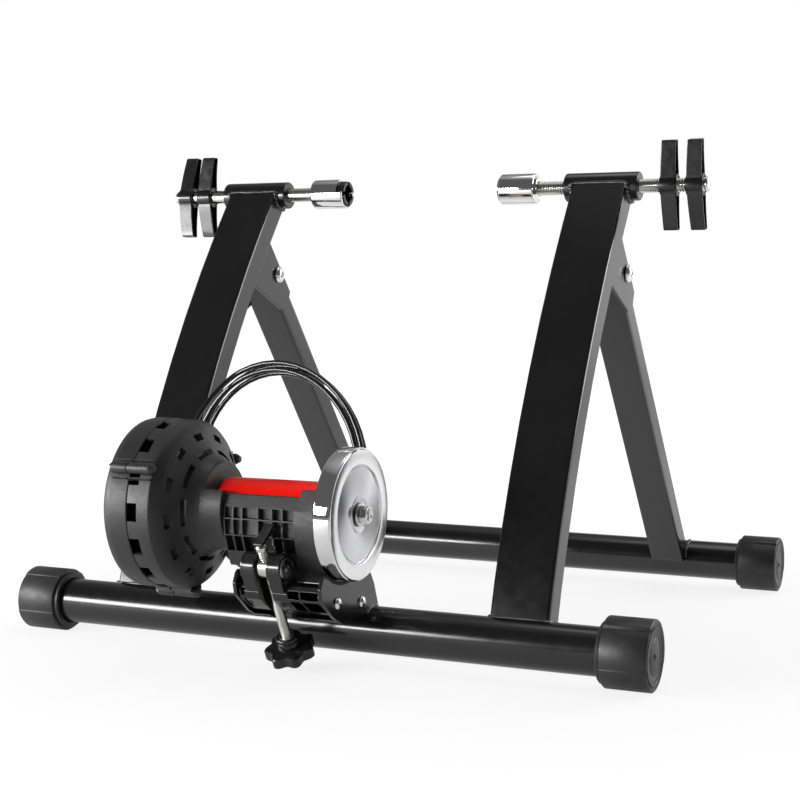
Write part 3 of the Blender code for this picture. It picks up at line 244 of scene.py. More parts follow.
FINISHES = {
    "powder": finish_of("powder_coat", (0.0072, 0.0068, 0.0071), rough=0.19, vary=0.16, vary_rough=0.035,
                        grain=1500.0, depth=0.000004, blotch=14.0, sockets={"IOR": 1.62}),
    "weld": finish_of("weld_bead", (0.008, 0.008, 0.008), rough=0.12, vary=0.25, vary_rough=0.05, grain=700.0,
                      depth=0.00004, sockets={"IOR": 1.7, "Coat Weight": 0.5, "Coat Roughness": 0.05}),
    "rubber": finish_of("cap_rubber", (0.019, 0.0185, 0.0195), rough=0.46, vary=0.16, vary_rough=0.07,
                        grain=1700.0, depth=0.00004, wear=(0.05, 0.05, 0.05), worn=0.5),
    "zinc": finish_of("zinc_plate", (0.71, 0.71, 0.66), metallic=1.0, rough=0.19, vary=0.06, vary_rough=0.04,
                      grain=1500.0, depth=0.000005, blotch=60.0),
    "dark_zinc": finish_of("dark_zinc", (0.10, 0.115, 0.14), metallic=1.0, rough=0.30, vary=0.15,
                           vary_rough=0.08, grain=1500.0, depth=0.000010, blotch=120.0),
    "chrome": finish_of("chrome_plate", (0.88, 0.88, 0.885), metallic=1.0, rough=0.05, vary=0.02,
                        vary_rough=0.02, grain=500.0, depth=0.000003, blotch=60.0),
    "knob": finish_of("knob_plastic", (0.0065, 0.0065, 0.0070), rough=0.21, vary=0.16, vary_rough=0.04,
                      grain=1300.0, depth=0.000008, wear=(0.07, 0.07, 0.075), worn=0.5,
                      sockets={"IOR": 1.55}),
    "shell": finish_of("housing_plastic", (0.0225, 0.0215, 0.0225), rough=0.42, vary=0.10, vary_rough=0.06,
                       grain=1500.0, depth=0.00016, wear=(0.055, 0.055, 0.06), worn=0.45),
    "block": finish_of("mount_plastic", (0.0075, 0.0075, 0.0082), rough=0.17, vary=0.16, vary_rough=0.04,
                       grain=900.0, depth=0.000008, wear=(0.07, 0.07, 0.075), worn=0.45,
                       sockets={"IOR": 1.55}),
    "roller": finish_of("roller_skin", (0.98, 0.0085, 0.0030), rough=0.20, vary=0.03, vary_rough=0.04,
                        grain=1100.0, depth=0.000008, sockets={"Specular IOR Level": 0.35}),
    "flywheel": turned_metal("turned_aluminium", (0.84, 0.84, 0.86), 0.22, 0.00045, 0.000004, 0.80),
    "rim": finish_of("polished_rim", (0.90, 0.90, 0.915), metallic=1.0, rough=0.035, vary=0.02,
                     vary_rough=0.015, grain=700.0, depth=0.000002, blotch=50.0),
    "satin_rim": finish_of("satin_rim", (0.90, 0.90, 0.91), metallic=1.0, rough=0.16, vary=0.03,
                           vary_rough=0.03, grain=900.0, depth=0.000002, blotch=40.0),
    "disc": finish_of("rotor_metal", (0.60, 0.60, 0.62), metallic=1.0, rough=0.33, vary=0.08, grain=900.0,
                      depth=0.00001),
    "cable": finish_of("cable_jacket", (0.0085, 0.0085, 0.0085), rough=0.22, vary=0.12, vary_rough=0.03,
                       grain=1500.0, depth=0.000003, blotch=30.0, sockets={"IOR": 1.6}),
}


# Mesh helpers

def bridge(bm, rows):
    """Faces between each two neighbouring closed rows of points; a row of one point makes a fan."""
    for a, b in zip(rows, rows[1:]):
        sides = max(len(a), len(b))
        for i in range(sides):
            j = (i + 1) % sides
            loop = dict.fromkeys([a[i % len(a)], a[j % len(a)], b[j % len(b)], b[i % len(b)]])
            if len(loop) > 2:
                bm.faces.new(list(loop))


def rod(bm, rows):
    """Faces along a run of rows, closed at both ends."""
    bridge(bm, rows)
    bm.faces.new(rows[0])
    bm.faces.new(list(reversed(rows[-1])))


def prism(bm, a, b):
    """Solid between two outlines with as many points."""
    bm.faces.new(a)
    bm.faces.new(list(reversed(b)))
    for i in range(len(a)):
        j = (i + 1) % len(a)
        bm.faces.new([a[i], b[i], b[j], a[j]])


def place(bm, name, look=None, body=None, nodes=(), sharp=CRISP):
    """The mesh as a piece that rides a body and stands for CAD nodes, or as a cutter when it has no look."""
    bmesh.ops.recalc_face_normals(bm, faces=bm.faces)
    mesh = bpy.data.meshes.new(name)
    bm.to_mesh(mesh)
    bm.free()
    mesh.shade_smooth()
    mesh.set_sharp_from_angle(angle=math.radians(sharp))
    obj = add(name, mesh)
    if look:
        mesh.materials.append(FINISHES[look])
        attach(obj, body)
        if nodes:
            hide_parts(*nodes)
    return obj


def ring(bm, middle, u, v, sides, radius):
    """Closed row of points about a middle; the radius is a function of the angle."""
    angles = [2 * math.pi * i / sides for i in range(sides)]
    return [bm.verts.new(middle + (u * math.cos(a) + v * math.sin(a)) * radius(a)) for a in angles]


def basis(direction):
    """The direction as a unit vector and two more square to it: for +X they are +Y and +Z."""
    d = Vector(direction).normalized()
    side = Vector((0, 1, 0)) if abs(d.x) > 0.9 else Vector((1, 0, 0))
    v = d.cross(side).normalized()
    return d, v.cross(d).normalized(), v


def eased(profile, radius, steps=3):
    """The profile with every corner rounded off."""
    points = [Vector(p) for p in profile]
    out = [tuple(points[0])]
    for a, b, c in zip(points, points[1:], points[2:]):
        reach = min(radius, 0.45 * (a - b).length, 0.45 * (c - b).length)
        start, end = b + (a - b).normalized() * reach, b + (c - b).normalized() * reach
        for i in range(steps + 1):
            t = i / steps
            out.append(tuple(start * (1 - t) ** 2 + b * 2 * t * (1 - t) + end * t * t))
    return out + [tuple(points[-1])]


def turn_into(bm, base, direction, profile, sides):
    """Revolves (station, radius) pairs about an axis."""
    d, u, v = basis(direction)
    rows = []
    for s, r in profile:
        middle = base + d * s
        rows.append(ring(bm, middle, u, v, sides, lambda a: r) if r > 1e-7 else [bm.verts.new(middle)])
    bridge(bm, rows)


def turned(name, base, direction, profile, sides, look, body, nodes=(), ease=0.0004, sharp=CRISP):
    bm = bmesh.new()
    turn_into(bm, base, direction, eased(profile, ease), sides)
    bmesh.ops.remove_doubles(bm, verts=bm.verts, dist=1e-7)
    return place(bm, name, look, body, nodes, sharp)


def hexagon(name, base, direction, corner, height, bore, look, body, nodes=(), phase=0.0):
    """Hexagon nut with a rounded crown and a bore."""
    bm = bmesh.new()
    d, first, second = basis(direction)
    u = first * math.cos(phase) + second * math.sin(phase)
    v = second * math.cos(phase) - first * math.sin(phase)
    rows = []
    for s, crown in ((0.0, 0.94), (0.0003, 1.0), (height - 0.0009, 1.0), (height - 0.0004, 0.955),
                     (height, 0.88)):
        rows.append(ring(bm, base + d * s, u, v, 48, lambda a: corner * min(
            crown, math.cos(HEX) / math.cos(a % (2 * HEX) - HEX))))
    rows += [ring(bm, base + d * s, u, v, 48, lambda a: bore) for s in (height, 0.0)]
    bridge(bm, rows + [rows[0]])
    place(bm, name, look, body, nodes)


def threaded_into(bm, base, direction, length, r, pitch, depth, sides, per_turn):
    """Rod with a helical thread: each ring's radius follows the helix."""
    d, u, v = basis(direction)
    step = pitch / per_turn
    count = max(2, round(length / step))
    rows = []
    for k in range(count + 1):
        s = length * k / count
        taper = min(1.0, s / 0.0012 + 0.55, (length - s) / 0.0012 + 0.55)
        deep = depth if s < length else 0.0
        rows.append(ring(bm, base + d * s, u, v, sides, lambda a: taper * (
            r - deep * abs(2 * ((s / pitch - a / (2 * math.pi)) % 1.0) - 1))))
    rod(bm, rows)


def soften(obj, width, segments=2, angle=28.0):
    """Rounds the edges of a made piece."""
    step = obj.modifiers.new("edges", "BEVEL")
    step.width, step.segments, step.limit_method = width, segments, "ANGLE"
    step.angle_limit = math.radians(angle)
    step.use_clamp_overlap = False
    step.miter_outer = "MITER_ARC"
    level = obj.modifiers.new("normals", "WEIGHTED_NORMAL")
    level.keep_sharp = False


def drop_normals(mesh):
    if "custom_normal" in mesh.attributes:
        mesh.attributes.remove(mesh.attributes["custom_normal"])


def dress(names, look, width=0.0004, segments=2, angle=28.0):
    """CAD nodes that keep their shape: joined facets, small round edges and a finish."""
    for name in names:
        obj = frame["nodes"][name]
        mesh = obj.data
        drop_normals(mesh)
        mesh.shade_smooth()
        weld = obj.modifiers.new("join", "WELD")
        weld.merge_threshold = MERGE
        flat = obj.modifiers.new("flats", "DECIMATE")
        flat.decimate_type, flat.angle_limit = "DISSOLVE", FLAT
        soften(obj, width, segments, angle)
        mesh.materials.clear()
        mesh.materials.append(FINISHES[look])


def cut(obj, *cutters):
    """Takes the cutters out of a piece and applies it, so that the mesh is final."""
    for cutter in cutters:
        step = obj.modifiers.new("cut", "BOOLEAN")
        step.operation, step.solver, step.object = "DIFFERENCE", "EXACT", cutter
    graph = bpy.context.evaluated_depsgraph_get()
    graph.update()
    made = bpy.data.meshes.new_from_object(obj.evaluated_get(graph))
    obj.modifiers.clear()
    old, obj.data = obj.data, made
    bpy.data.meshes.remove(old)
    for cutter in cutters:
        bpy.data.objects.remove(cutter)
    made.shade_smooth()
    made.set_sharp_from_angle(angle=math.radians(CRISP))


def box_into(bm, low, high):
    sides, middle = high - low, (low + high) / 2
    for v in bmesh.ops.create_cube(bm, size=1.0)["verts"]:
        v.co = v.co * sides + middle


def block(low, high):
    """A box as a cutter."""
    bm = bmesh.new()
    box_into(bm, low, high)
    return place(bm, "block")


def bars(middle, reach, halves):
    """Cutters for bars through one point, from their half sizes in Y and Z."""
    return [block(middle - half, middle + half) for half in (Vector((reach, y, z)) for y, z in halves)]


# Cable

CABLE_R, LOOPS, LOOP_R0, LOOP_STEP, LAYER = 0.0022, 4, 0.0925, 0.0060, 0.0054
COIL_X, COIL_Y, COIL_Z = -0.052, 0.0205, 0.1215
COIL_LEAN, COIL_YAW = 0.085, -0.150
DRUM_R, GLAND_ANGLE, GLAND_X, GLAND_OUT = 0.069, 50.0, -0.1175, 0.0090
TAIL, TAIL_START = Vector((-1.0, 0.12, 0.10)), (-0.0140, 0.0330, 0.0640)


def coil_plane(x, z, depth):
    """A point of the coil's leaning plane, from the coil's centre."""
    return at(COIL_X + x, COIL_Y + COIL_YAW * x + COIL_LEAN * z + depth, COIL_Z + z)


def coil_point(t):
    """Point of the coil after t turns: it winds inwards in one layer and outwards in the next."""
    half = LOOPS / 2
    inward = t if t < half else LOOPS - t
    r = LOOP_R0 - LOOP_STEP * inward
    s = min(max((t - half) / 0.36 + 0.5, 0.0), 1.0)
    a = math.pi - 2 * math.pi * t
    return coil_plane(r * math.cos(a), r * math.sin(a), LAYER * s * s * (3 - 2 * s))


def hermite(p0, m0, p1, m1, n):
    out = []
    for i in range(1, n):
        t = i / n
        a, b = 2 * t ** 3 - 3 * t ** 2 + 1, t ** 3 - 2 * t ** 2 + t
        c, d = -2 * t ** 3 + 3 * t ** 2, t ** 3 - t ** 2
        out.append(p0 * a + m0 * b + p1 * c + m1 * d)
    return out


def cable_route():
    out = spoke(GLAND_ANGLE)
    start = axle(GLAND_X) + out * (DRUM_R + GLAND_OUT + GAP)
    first, last = 0.18, LOOPS - 0.42  # turns at which the coil begins and ends
    steps = round((last - first) * 48)
    coil = [coil_point(first + (last - first) * i / steps) for i in range(steps + 1)]
    entering, onward = (coil[1] - coil[0]).normalized(), (coil[-1] - coil[-2]).normalized()
    tail = TAIL.normalized()
    stop = at(*TAIL_START)
    lead = [start, start + out * 0.0022, start + out * 0.0045]
    route = lead + hermite(lead[-1], out * 0.050, coil[0], entering * 0.050, 12) + coil
    route += hermite(coil[-1], (onward + Vector((0, 0.45, 0))) * 0.045, stop, tail * 0.050, 14)
    return route + [stop, stop + tail * 0.0022, stop + tail * 0.0045], start


def cable():
    route, start = cable_route()
    curve = bpy.data.curves.new("cable", "CURVE")
    curve.dimensions = "3D"
    curve.bevel_depth, curve.bevel_resolution = CABLE_R, 3
    curve.use_fill_caps = True
    curve.twist_mode = "MINIMUM"
    spline = curve.splines.new("POLY")
    spline.points.add(len(route) - 1)
    for slot, p in zip(spline.points, route):
        slot.co = (*p, 1)
    spline.use_smooth = True
    obj = add("cable", curve)
    curve.materials.append(FINISHES["cable"])
    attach(obj, "roller_unit")
    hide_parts("cable_coil")
    dress(["cable_gland", "cable_tie", "remote_body", "remote_lever"], "knob", 0.0005, 3)
    dress(["cable_ferrule"], "zinc", 0.0003)


# Weld beads

# a front leg's mid line, Y in powers of Z, and half its depth
LEG_CURVE, LEG_HALF = (0.0101, 0.2986, 0.674), 0.0125


def bead(name, path, r, body, seed=0.0, ripple=0.0022):
    """A run of weld along a path: overlapping round ripples, uneven in width and height."""
    dense = []
    for a, b in zip(path, path[1:]):
        n = max(1, round((b - a).length / 0.0005))
        dense += [a.lerp(b, i / n) for i in range(n)]
    dense.append(path[-1])
    bm = bmesh.new()
    rows, run = [], 0.0
    for k, p in enumerate(dense):
        before, after = dense[max(k - 2, 0)], dense[min(k + 2, len(dense) - 1)]
        run += (p - dense[max(k - 1, 0)]).length
        u, v = basis(after - before)[1:]
        wave = abs(math.sin(math.pi * run / ripple + seed))
        broad = noise.noise(p * 160 + Vector((seed, 0, 0)))
        thick = r * (0.72 + 0.34 * wave + 0.45 * broad) * (0.3 if k in (0, len(dense) - 1) else 1.0)
        shift = noise.noise_vector(p * 120 + Vector((0, seed, 0))) * r * 0.35
        rows.append(ring(bm, p + shift, u, v, 10, lambda a: thick * (
            1 + 0.16 * noise.noise(p * 500 + Vector((a, seed, 0))))))
    rod(bm, rows)
    return place(bm, name, "weld", body, sharp=80)


def foot_path(low, high, tube, front, back):
    """Line round the foot of a leg, where it meets a base tube."""
    def on_tube(x, y):
        inside = max(TUBE_R ** 2 - y ** 2, 0.0)
        return Vector((x, tube.y + y, tube.z + math.sqrt(inside)))
    n = 8
    side = [front + (back - front) * i / n for i in range(n + 1)]
    path = [on_tube(low, y) for y in reversed(side)]
    path += [on_tube(low + (high - low) * i / 10, front) for i in range(1, 10)]
    return path + [on_tube(high, y) for y in side]


def leg_front(name, z_low, z_high):
    """Least Y of a leg's vertices between two heights."""
    return min(v.co.y for v in frame["nodes"][name].data.vertices if z_low <= v.co.z <= z_high)


def welds():
    noise.seed_set(7)  # keeps noise_vector the same in each run
    for k, side in enumerate(("l", "r")):
        low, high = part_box(f"front_leg_{side}")
        front = leg_front(f"front_leg_{side}", FRONT_TUBE.z + 0.005, FRONT_TUBE.z + 0.030) - FRONT_TUBE.y
        bead(f"foot_weld_{side}", foot_path(low.x, high.x, FRONT_TUBE, front, TUBE_R * 0.97), 0.0015,
             "root", seed=k * 3.1)
        head_welds(side, low, high, k)
        low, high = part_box(f"rear_leg_{side}")
        bead(f"rear_foot_weld_{side}", foot_path(low.x, high.x, REAR_TUBE, -TUBE_R * 0.97, 0.0035), 0.0014,
             "rear_frame", seed=7 + k * 2.3)
        channel_welds(side, k)
    bracket_welds()


def head_welds(side, low, high, k):
    """Beads that join a leg's head to its sleeve, in front, behind and at both sides."""
    r = SLEEVE_R + 0.0002
    for name, sign, rise in (("front", -1, 14.0), ("back", 1, -52.0)):
        a = math.radians(rise)
        y, z = HEAD.y + sign * r * math.cos(a), HEAD.z + r * math.sin(a)
        path = [Vector((x, y, z)) for x in (low.x + 0.0005, high.x - 0.0005)]
        bead(f"head_weld_{name}_{side}", path, 0.0016, "root", seed=1.7 * k + sign, ripple=0.0030)
    for name, x in (("in", low.x), ("out", high.x)):
        path = [Vector((x, HEAD.y - r * math.cos(a), HEAD.z + r * math.sin(a)))
                for a in (math.radians(14 - 124 * i / 10) for i in range(11))]
        bead(f"head_weld_{name}_{side}", path, 0.0024, "root", seed=4.0 + k + x * 10, ripple=0.0034)


def channel_welds(side, k):
    low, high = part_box(f"pivot_channel_{side}")
    c0, c1, c2 = LEG_CURVE
    ends = []
    for z in (0.288, 0.318):
        slope = c1 + 2 * c2 * z
        ends.append(at(0, c0 + c1 * z + c2 * z * z + LEG_HALF * math.sqrt(1 + slope * slope), z))
    for name, x in (("in", low.x), ("out", high.x)):
        path = [Vector((x, p.y, p.z)) for p in ends]
        bead(f"channel_weld_{name}_{side}", path, 0.0012, "root", seed=2.0 + k * 1.3 + x)


def bracket_welds():
    low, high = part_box("unit_bracket")
    for name, x in (("l", low.x), ("r", high.x)):
        path = [Vector((x, FRONT_TUBE.y, FRONT_TUBE.z)) + spoke(62 + 68 * i / 12) * (TUBE_R + 0.0004)
                for i in range(13)]
        bead(f"bracket_weld_{name}", path, 0.0013, "root", seed=5 + x * 20)


# Stand

def stand():
    dress(["front_base_tube", "rear_base_tube", "sleeve_l", "sleeve_r"], "powder", 0.0004, 2)
    dress(["front_leg_l", "front_leg_r", "rear_leg_l", "rear_leg_r"], "powder", 0.0005, 2, 40.0)
    dress(["pivot_channel_l", "pivot_channel_r"], "powder", 0.0008, 3)
    for side in ("l", "r"):
        pivot_bolt(side)
    for name in ("front_l", "front_r", "rear_l", "rear_r"):
        level_cap(name)
    welds()


CAP_EDGES = (-17.0, 57.0, 129.0, 201.0, 271.0)  # where a cap's sectors meet, in degrees from -Y towards +Z
CAP_RADII = {"front_r": (0.0264, 0.0283, 0.0278, 0.0266, 0.0269),
             "front_l": (0.0263, 0.0271, 0.0278, 0.0266, 0.0269),
             "rear_r": (0.0265, 0.0276, 0.0281, 0.0266, 0.0269),
             "rear_l": (0.0263, 0.0279, 0.0282, 0.0266, 0.0269)}
CAP_L, CAP_LIP, CAP_BLEND = 0.0406, 0.0036, 1.6


def cap_radius(radii, angle):
    """Radius of the cap at an angle, with each step between two sectors spread over a few degrees."""
    for i, edge in enumerate(CAP_EDGES):
        ahead = (angle - edge + 180.0) % 360.0 - 180.0
        if abs(ahead) < CAP_BLEND:
            t = (ahead + CAP_BLEND) / (2 * CAP_BLEND)
            return radii[i - 1] + (radii[i] - radii[i - 1]) * t * t * (3 - 2 * t)
    past = [(angle - edge) % 360.0 for edge in CAP_EDGES]
    return radii[past.index(min(past))]


def level_cap(name):
    """Levelling cap: five sectors of unlike radius, a lip where the tube enters and a ringed end face."""
    low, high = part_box(f"cap_{name}")
    sign = 1 if name.endswith("r") else -1
    tube = FRONT_TUBE if name.startswith("front") else REAR_TUBE
    end = high.x if sign > 0 else low.x
    bore, neck = TUBE_R + GAP, CAP_L - CAP_LIP
    angles = sorted({round(360.0 * i / 120, 3) for i in range(120)} |
                    {round((edge + d) % 360.0, 3) for edge in CAP_EDGES for d in (-1.7, -0.8, 0.0, 0.8, 1.7)})
    # depth from the end face, then a radius; where that is None, a trim off the sector's own radius
    stations = [(0.0004, 0.0, 0), (0.0004, 0.0012, 0), (0.0, 0.0016, 0), (0.0, 0.0022, 0),
                (0.0006, 0.0026, 0), (0.0006, 0.0140, 0), (0.0009, 0.0144, 0), (0.0009, 0.0152, 0),
                (0.0006, 0.0156, 0), (0.0006, 0.0206, 0), (0.0001, 0.0212, 0), (0.0001, 0.0222, 0),
                (0.0013, 0.0227, 0), (0.0013, 0.0236, 0), (0.0002, None, 0.0022), (0.0002, None, 0.0013),
                (0.0006, None, 0.0005), (0.0014, None, 0), (neck - 0.0008, None, 0),
                (neck - 0.0002, None, 0.0004), (neck, None, 0.0010), (neck, 0.0236, 0),
                (neck + 0.0004, 0.0233, 0), (neck + 0.0008, 0.0240, 0), (CAP_L - 0.0007, 0.0240, 0),
                (CAP_L, 0.0233, 0), (CAP_L, bore + 0.0006, 0), (CAP_L - 0.0006, bore, 0),
                (0.0040, bore, 0), (0.0040, 0.0, 0)]
    bm = bmesh.new()
    rows = []
    for depth, radius, trim in stations:
        x = end - sign * depth
        if radius == 0.0:
            rows.append([bm.verts.new(Vector((x, tube.y, tube.z)))])
            continue
        row = []
        for angle in angles:
            a = math.radians(angle)
            r = radius if radius is not None else cap_radius(CAP_RADII[name], angle) - trim
            row.append(bm.verts.new(Vector((x, tube.y - r * math.cos(a), tube.z + r * math.sin(a)))))
        rows.append(row)
    bridge(bm, rows)
    place(bm, f"cap_{name}_fine", "rubber", name.replace("_", "_cap_"), [f"cap_{name}"], sharp=38.0)


def pivot_bolt(side):
    low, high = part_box(f"pivot_bolt_{side}")
    reach, dome, r = high.x - low.x, 0.0040, 0.0079
    profile = [(0, 0), (0, 0.0034), (0.0006, 0.0040), (reach - 0.0050, 0.0040), (reach - 0.0050, 0.0078),
               (reach - dome, r)]
    profile += [(reach - dome + dome * math.sin(a), r * math.cos(a))
                for a in (math.radians(d) for d in (12, 26, 40, 54, 64))]
    profile += [(reach - 0.0008, 0.0026), (reach - 0.0026, 0.0023), (reach - 0.0028, 0.0)]
    start = Vector((low.x, PIVOT.y, PIVOT.z))
    turned(f"pivot_bolt_{side}_fine", start, X_AXIS, profile, 48, "chrome", "root",
           [f"pivot_bolt_{side}"], ease=0.0003)
    low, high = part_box(f"pivot_nut_{side}")
    hexagon(f"pivot_nut_{side}_fine", Vector((high.x, PIVOT.y, PIVOT.z)), -X_AXIS, 0.0075, high.x - low.x,
            0.0043, "zinc", "root", [f"pivot_nut_{side}"])


# Clamps

def cup(side):
    """Chrome cup with a rolled mouth and a castellated insert."""
    low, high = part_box(f"{side}_cup")
    sign = -1 if side == "left" else 1
    back = high.x if sign > 0 else low.x
    length, r = high.x - low.x, 0.0137
    wall, bore, depth = 0.0016, 0.0067, 0.0170
    base = head(back)
    inward = Vector((-sign, 0, 0))
    profile = [(0.0125, 0.0), (0.0125, bore), (0.0, bore), (0.0, r - 0.0040), (0.0022, r - 0.0014),
               (0.0022, r - 0.0006), (0.0034, r), (length - 0.0008, r), (length, r - 0.0008),
               (length, r - wall), (length - depth, r - wall), (length - depth, 0.0)]
    shell = turned(f"{side}_cup_fine", base, inward, profile, 96, "chrome", f"{side}_clamp",
                   [f"{side}_cup"])
    low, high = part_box(f"{side}_insert")
    deep, fit = high.x - low.x, r - wall - GAP
    start = head(high.x if sign > 0 else low.x)
    profile = [(0, 0), (0, fit), (deep - 0.0008, fit), (deep, fit - 0.0007), (deep, 0.0084),
               (deep - 0.0012, 0.0078), (0.0035, 0.0078), (0.0035, 0)]
    insert = turned(f"{side}_insert_fine", start, inward, profile, 96, "knob", f"{side}_clamp",
                    [f"{side}_insert"])
    cut(insert, *bars(start + inward * deep, 0.0034, ((0.0017, 0.02), (0.02, 0.0017))))
    if side == "left":
        mouth = start.x + deep
        cut(shell, block(Vector((mouth - 0.0072, HEAD.y - 0.020, HEAD.z + 0.0012)),
                         Vector((mouth + 0.020, HEAD.y + 0.020, HEAD.z + 0.020))))


def rods():
    length, r = size("left_rod").x, size("left_rod").z / 2
    profile = [(0, 0), (0, r - 0.0008), (0.0008, r), (length - 0.0010, r), (length, r - 0.0010), (length, 0)]
    turned("left_rod_fine", head(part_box("left_rod")[1].x), -X_AXIS, profile, 64, "zinc", "left_screw",
           ["left_rod"])
    length, r = size("right_screw").x, size("right_screw").z / 2
    bm = bmesh.new()
    threaded_into(bm, head(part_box("right_screw")[0].x), X_AXIS, length, r, 0.00220, 0.00115, 28, 8)
    place(bm, "right_screw_fine", "zinc", "right_screw", ["right_screw"], sharp=80)


def wing_into(bm, end, sweep, reach, thick):
    """One wing: a deep bar that narrows to its tip, with a long pocket sunk in each broad side."""
    stations = ((0.14, 0.0140), (0.24, 0.0134), (0.40, 0.0122), (0.56, 0.0110), (0.72, 0.0099),
                (0.86, 0.0090), (0.96, 0.0083), (1.0, 0.0072))
    rows = []
    for f, width in stations:
        t = thick * (1.0 - 0.08 * f)
        shift = sweep * f * f
        rows.append([bm.verts.new(Vector((shift + sx * t / 2, sy * width / 2, end * reach * f)))
                     for sx, sy in ((-1, -1), (1, -1), (1, 1), (-1, 1))])
    sides = {1: [], 3: []}
    for a, b in zip(rows, rows[1:]):
        for i in range(4):
            j = (i + 1) % 4
            face = bm.faces.new([a[i], a[j], b[j], b[i]])
            if i in sides:
                sides[i].append(face)
    bm.faces.new(rows[0])
    bm.faces.new(list(reversed(rows[-1])))
    bm.normal_update()
    bmesh.ops.recalc_face_normals(bm, faces=bm.faces)
    for faces in sides.values():
        bmesh.ops.inset_region(bm, faces=faces, thickness=0.0014, depth=0.0)
        bmesh.ops.inset_region(bm, faces=faces, thickness=0.0002, depth=-0.0045)


def wing_knob(name, body, lean, sweep):
    middle = head(centre(name).x)
    reach, half = size(name).z / 2 - 0.0003, size(name).x / 2
    turn = Matrix.Translation(middle) @ Matrix.Rotation(math.radians(lean), 4, "X")
    bm = bmesh.new()
    for end in (1, -1):
        wing_into(bm, end, sweep, reach, 2 * half - 0.0012)
    bmesh.ops.transform(bm, matrix=turn, verts=bm.verts)
    wings = place(bm, f"{name}_wings", "knob", body)
    soften(wings, 0.0006, 3, 35.0)
    hub = 0.0098
    profile = [(0.0010, 0.0066), (0.0010, 0.0080), (0, 0.0084), (0, hub - 0.0008), (0.0008, hub),
               (2 * half - 0.0008, hub), (2 * half, hub - 0.0008), (2 * half, 0.0084),
               (2 * half - 0.0010, 0.0080), (2 * half - 0.0010, 0.0066), (0.0010, 0.0066)]
    turned(f"{name}_hub", middle - X_AXIS * half, X_AXIS, profile, 64, "knob", body, [name])
    turned(f"{name}_insert", middle - X_AXIS * (half - 0.0011), X_AXIS,
           [(0, 0.0064), (0, 0.0079), (2 * half - 0.0022, 0.0079), (2 * half - 0.0022, 0.0064), (0, 0.0064)],
           48, "zinc", body)


def clamps():
    cup("left")
    cup("right")
    rods()
    wing_knob("left_knob_inner", "left_lock", 0.0, 0.0034)
    wing_knob("left_knob_outer", "left_screw", -7.0, 0.0034)
    wing_knob("right_knob_inner", "right_lock", 8.0, 0.0010)
    wing_knob("right_knob_outer", "right_screw", 13.0, 0.0014)
    screw_end()


def screw_end():
    """Dome with a cross slot on the right screw's outer end."""
    base = head(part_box("right_screw")[1].x - 0.0030)
    profile = [(0.0002, 0.0), (0.0002, 0.0066), (0.0012, 0.0068), (0.0022, 0.0058), (0.0029, 0.0034),
               (0.0030, 0.0)]
    dome = turned("right_screw_end", base, X_AXIS, profile, 48, "chrome", "right_screw")
    cut(dome, *bars(base + X_AXIS * 0.0030, 0.0011, ((0.0005, 0.0036), (0.0036, 0.0005))))


# Roller unit

def drum():
    cover_x0, shell_x0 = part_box("drum_cover")[0].x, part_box("drum_shell")[0].x
    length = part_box("drum_cover")[1].x - cover_x0
    r, w, c = DRUM_R, 0.0024, 0.0060
    profile = [(0.0006, 0), (0.0006, 0.010), (0, 0.0108), (0, r - c - 0.004), (0.0012, r - c + 0.0010),
               (0.0040, r - 0.0012), (0.0090, r), (length, r), (length, r - w), (0.0080, r - w - 0.0008),
               (w, r - c - 0.006), (w, 0.0082), (0.0190, 0.0082), (0.0190, 0.0053), (0.0112, 0.0053),
               (0.0112, 0)]
    turned("drum_cover_fine", axle(cover_x0), X_AXIS, profile, 180, "shell", "roller_unit",
           ["drum_cover"], ease=0.0011)
    neck1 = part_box("drum_shell")[1].x
    rim = -0.0868
    bowl = [(rim, r - 0.0008), (rim + 0.0012, r - 0.0016), (rim + 0.0036, 0.0652), (rim + 0.0060, 0.0618),
            (rim + 0.0082, 0.0576), (rim + 0.0106, 0.0524), (rim + 0.0133, 0.0471), (rim + 0.0163, 0.0426),
            (rim + 0.0196, 0.0392), (rim + 0.0228, 0.0368), (rim + 0.0262, 0.0354), (rim + 0.0295, 0.0350)]
    outer = [(shell_x0, r - 0.0006)] + bowl + [(neck1, 0.0350)]
    inner = [(neck1, 0.0290), (-0.0590, 0.0290), (-0.0590, 0.0075), (-0.0640, 0.0075), (-0.0740, 0.0390),
             (-0.0840, 0.0560), (-0.0885, r - w - 0.0010), (shell_x0, r - w - 0.0006), (shell_x0, r - 0.0006)]
    shell = turned("drum_shell_fine", axle(0), X_AXIS, outer + inner, 192, "shell", "roller_unit",
                   ["drum_shell"], ease=0.0007)
    cut(shell, window_cutters(shell_x0), vent_cutters(), mouth_cutter(neck1))
    bosses(shell_x0)


def radial_block(bm, x0, x1, r0, r1, angle, half, turns=4):
    """Block between two radii that follows the circle, angle in degrees from +Y towards +Z."""
    rows = []
    for x in (x0, x1):
        row = []
        for r, order in ((r0, 1), (r1, -1)):
            for i in range(turns + 1):
                off = (2 * i / turns - 1) * order * half / ((r0 + r1) / 2)
                row.append(bm.verts.new(axle(x) + spoke(angle + math.degrees(off)) * r))
        rows.append(row)
    prism(bm, *rows)


WINDOWS, OUTER_VENTS, INNER_VENTS = 15, 12, 9


def window_cutters(x0):
    bm = bmesh.new()
    for i in range(WINDOWS):
        angle = 360.0 / WINDOWS * (i + 0.5)
        radial_block(bm, x0 - 0.002, -0.0972, DRUM_R - 0.008, DRUM_R + 0.006, angle, 0.0072)
    return place(bm, "window_cutters")


def vent_cutters():
    bm = bmesh.new()
    for i in range(OUTER_VENTS):
        radial_block(bm, -0.0900, -0.0690, 0.0528, 0.0582, 360.0 / OUTER_VENTS * i + 8, 0.0055)
    for i in range(INNER_VENTS):
        radial_block(bm, -0.0850, -0.0620, 0.0412, 0.0452, 360.0 / INNER_VENTS * i + 22, 0.0106, 8)
    return place(bm, "vent_cutters")


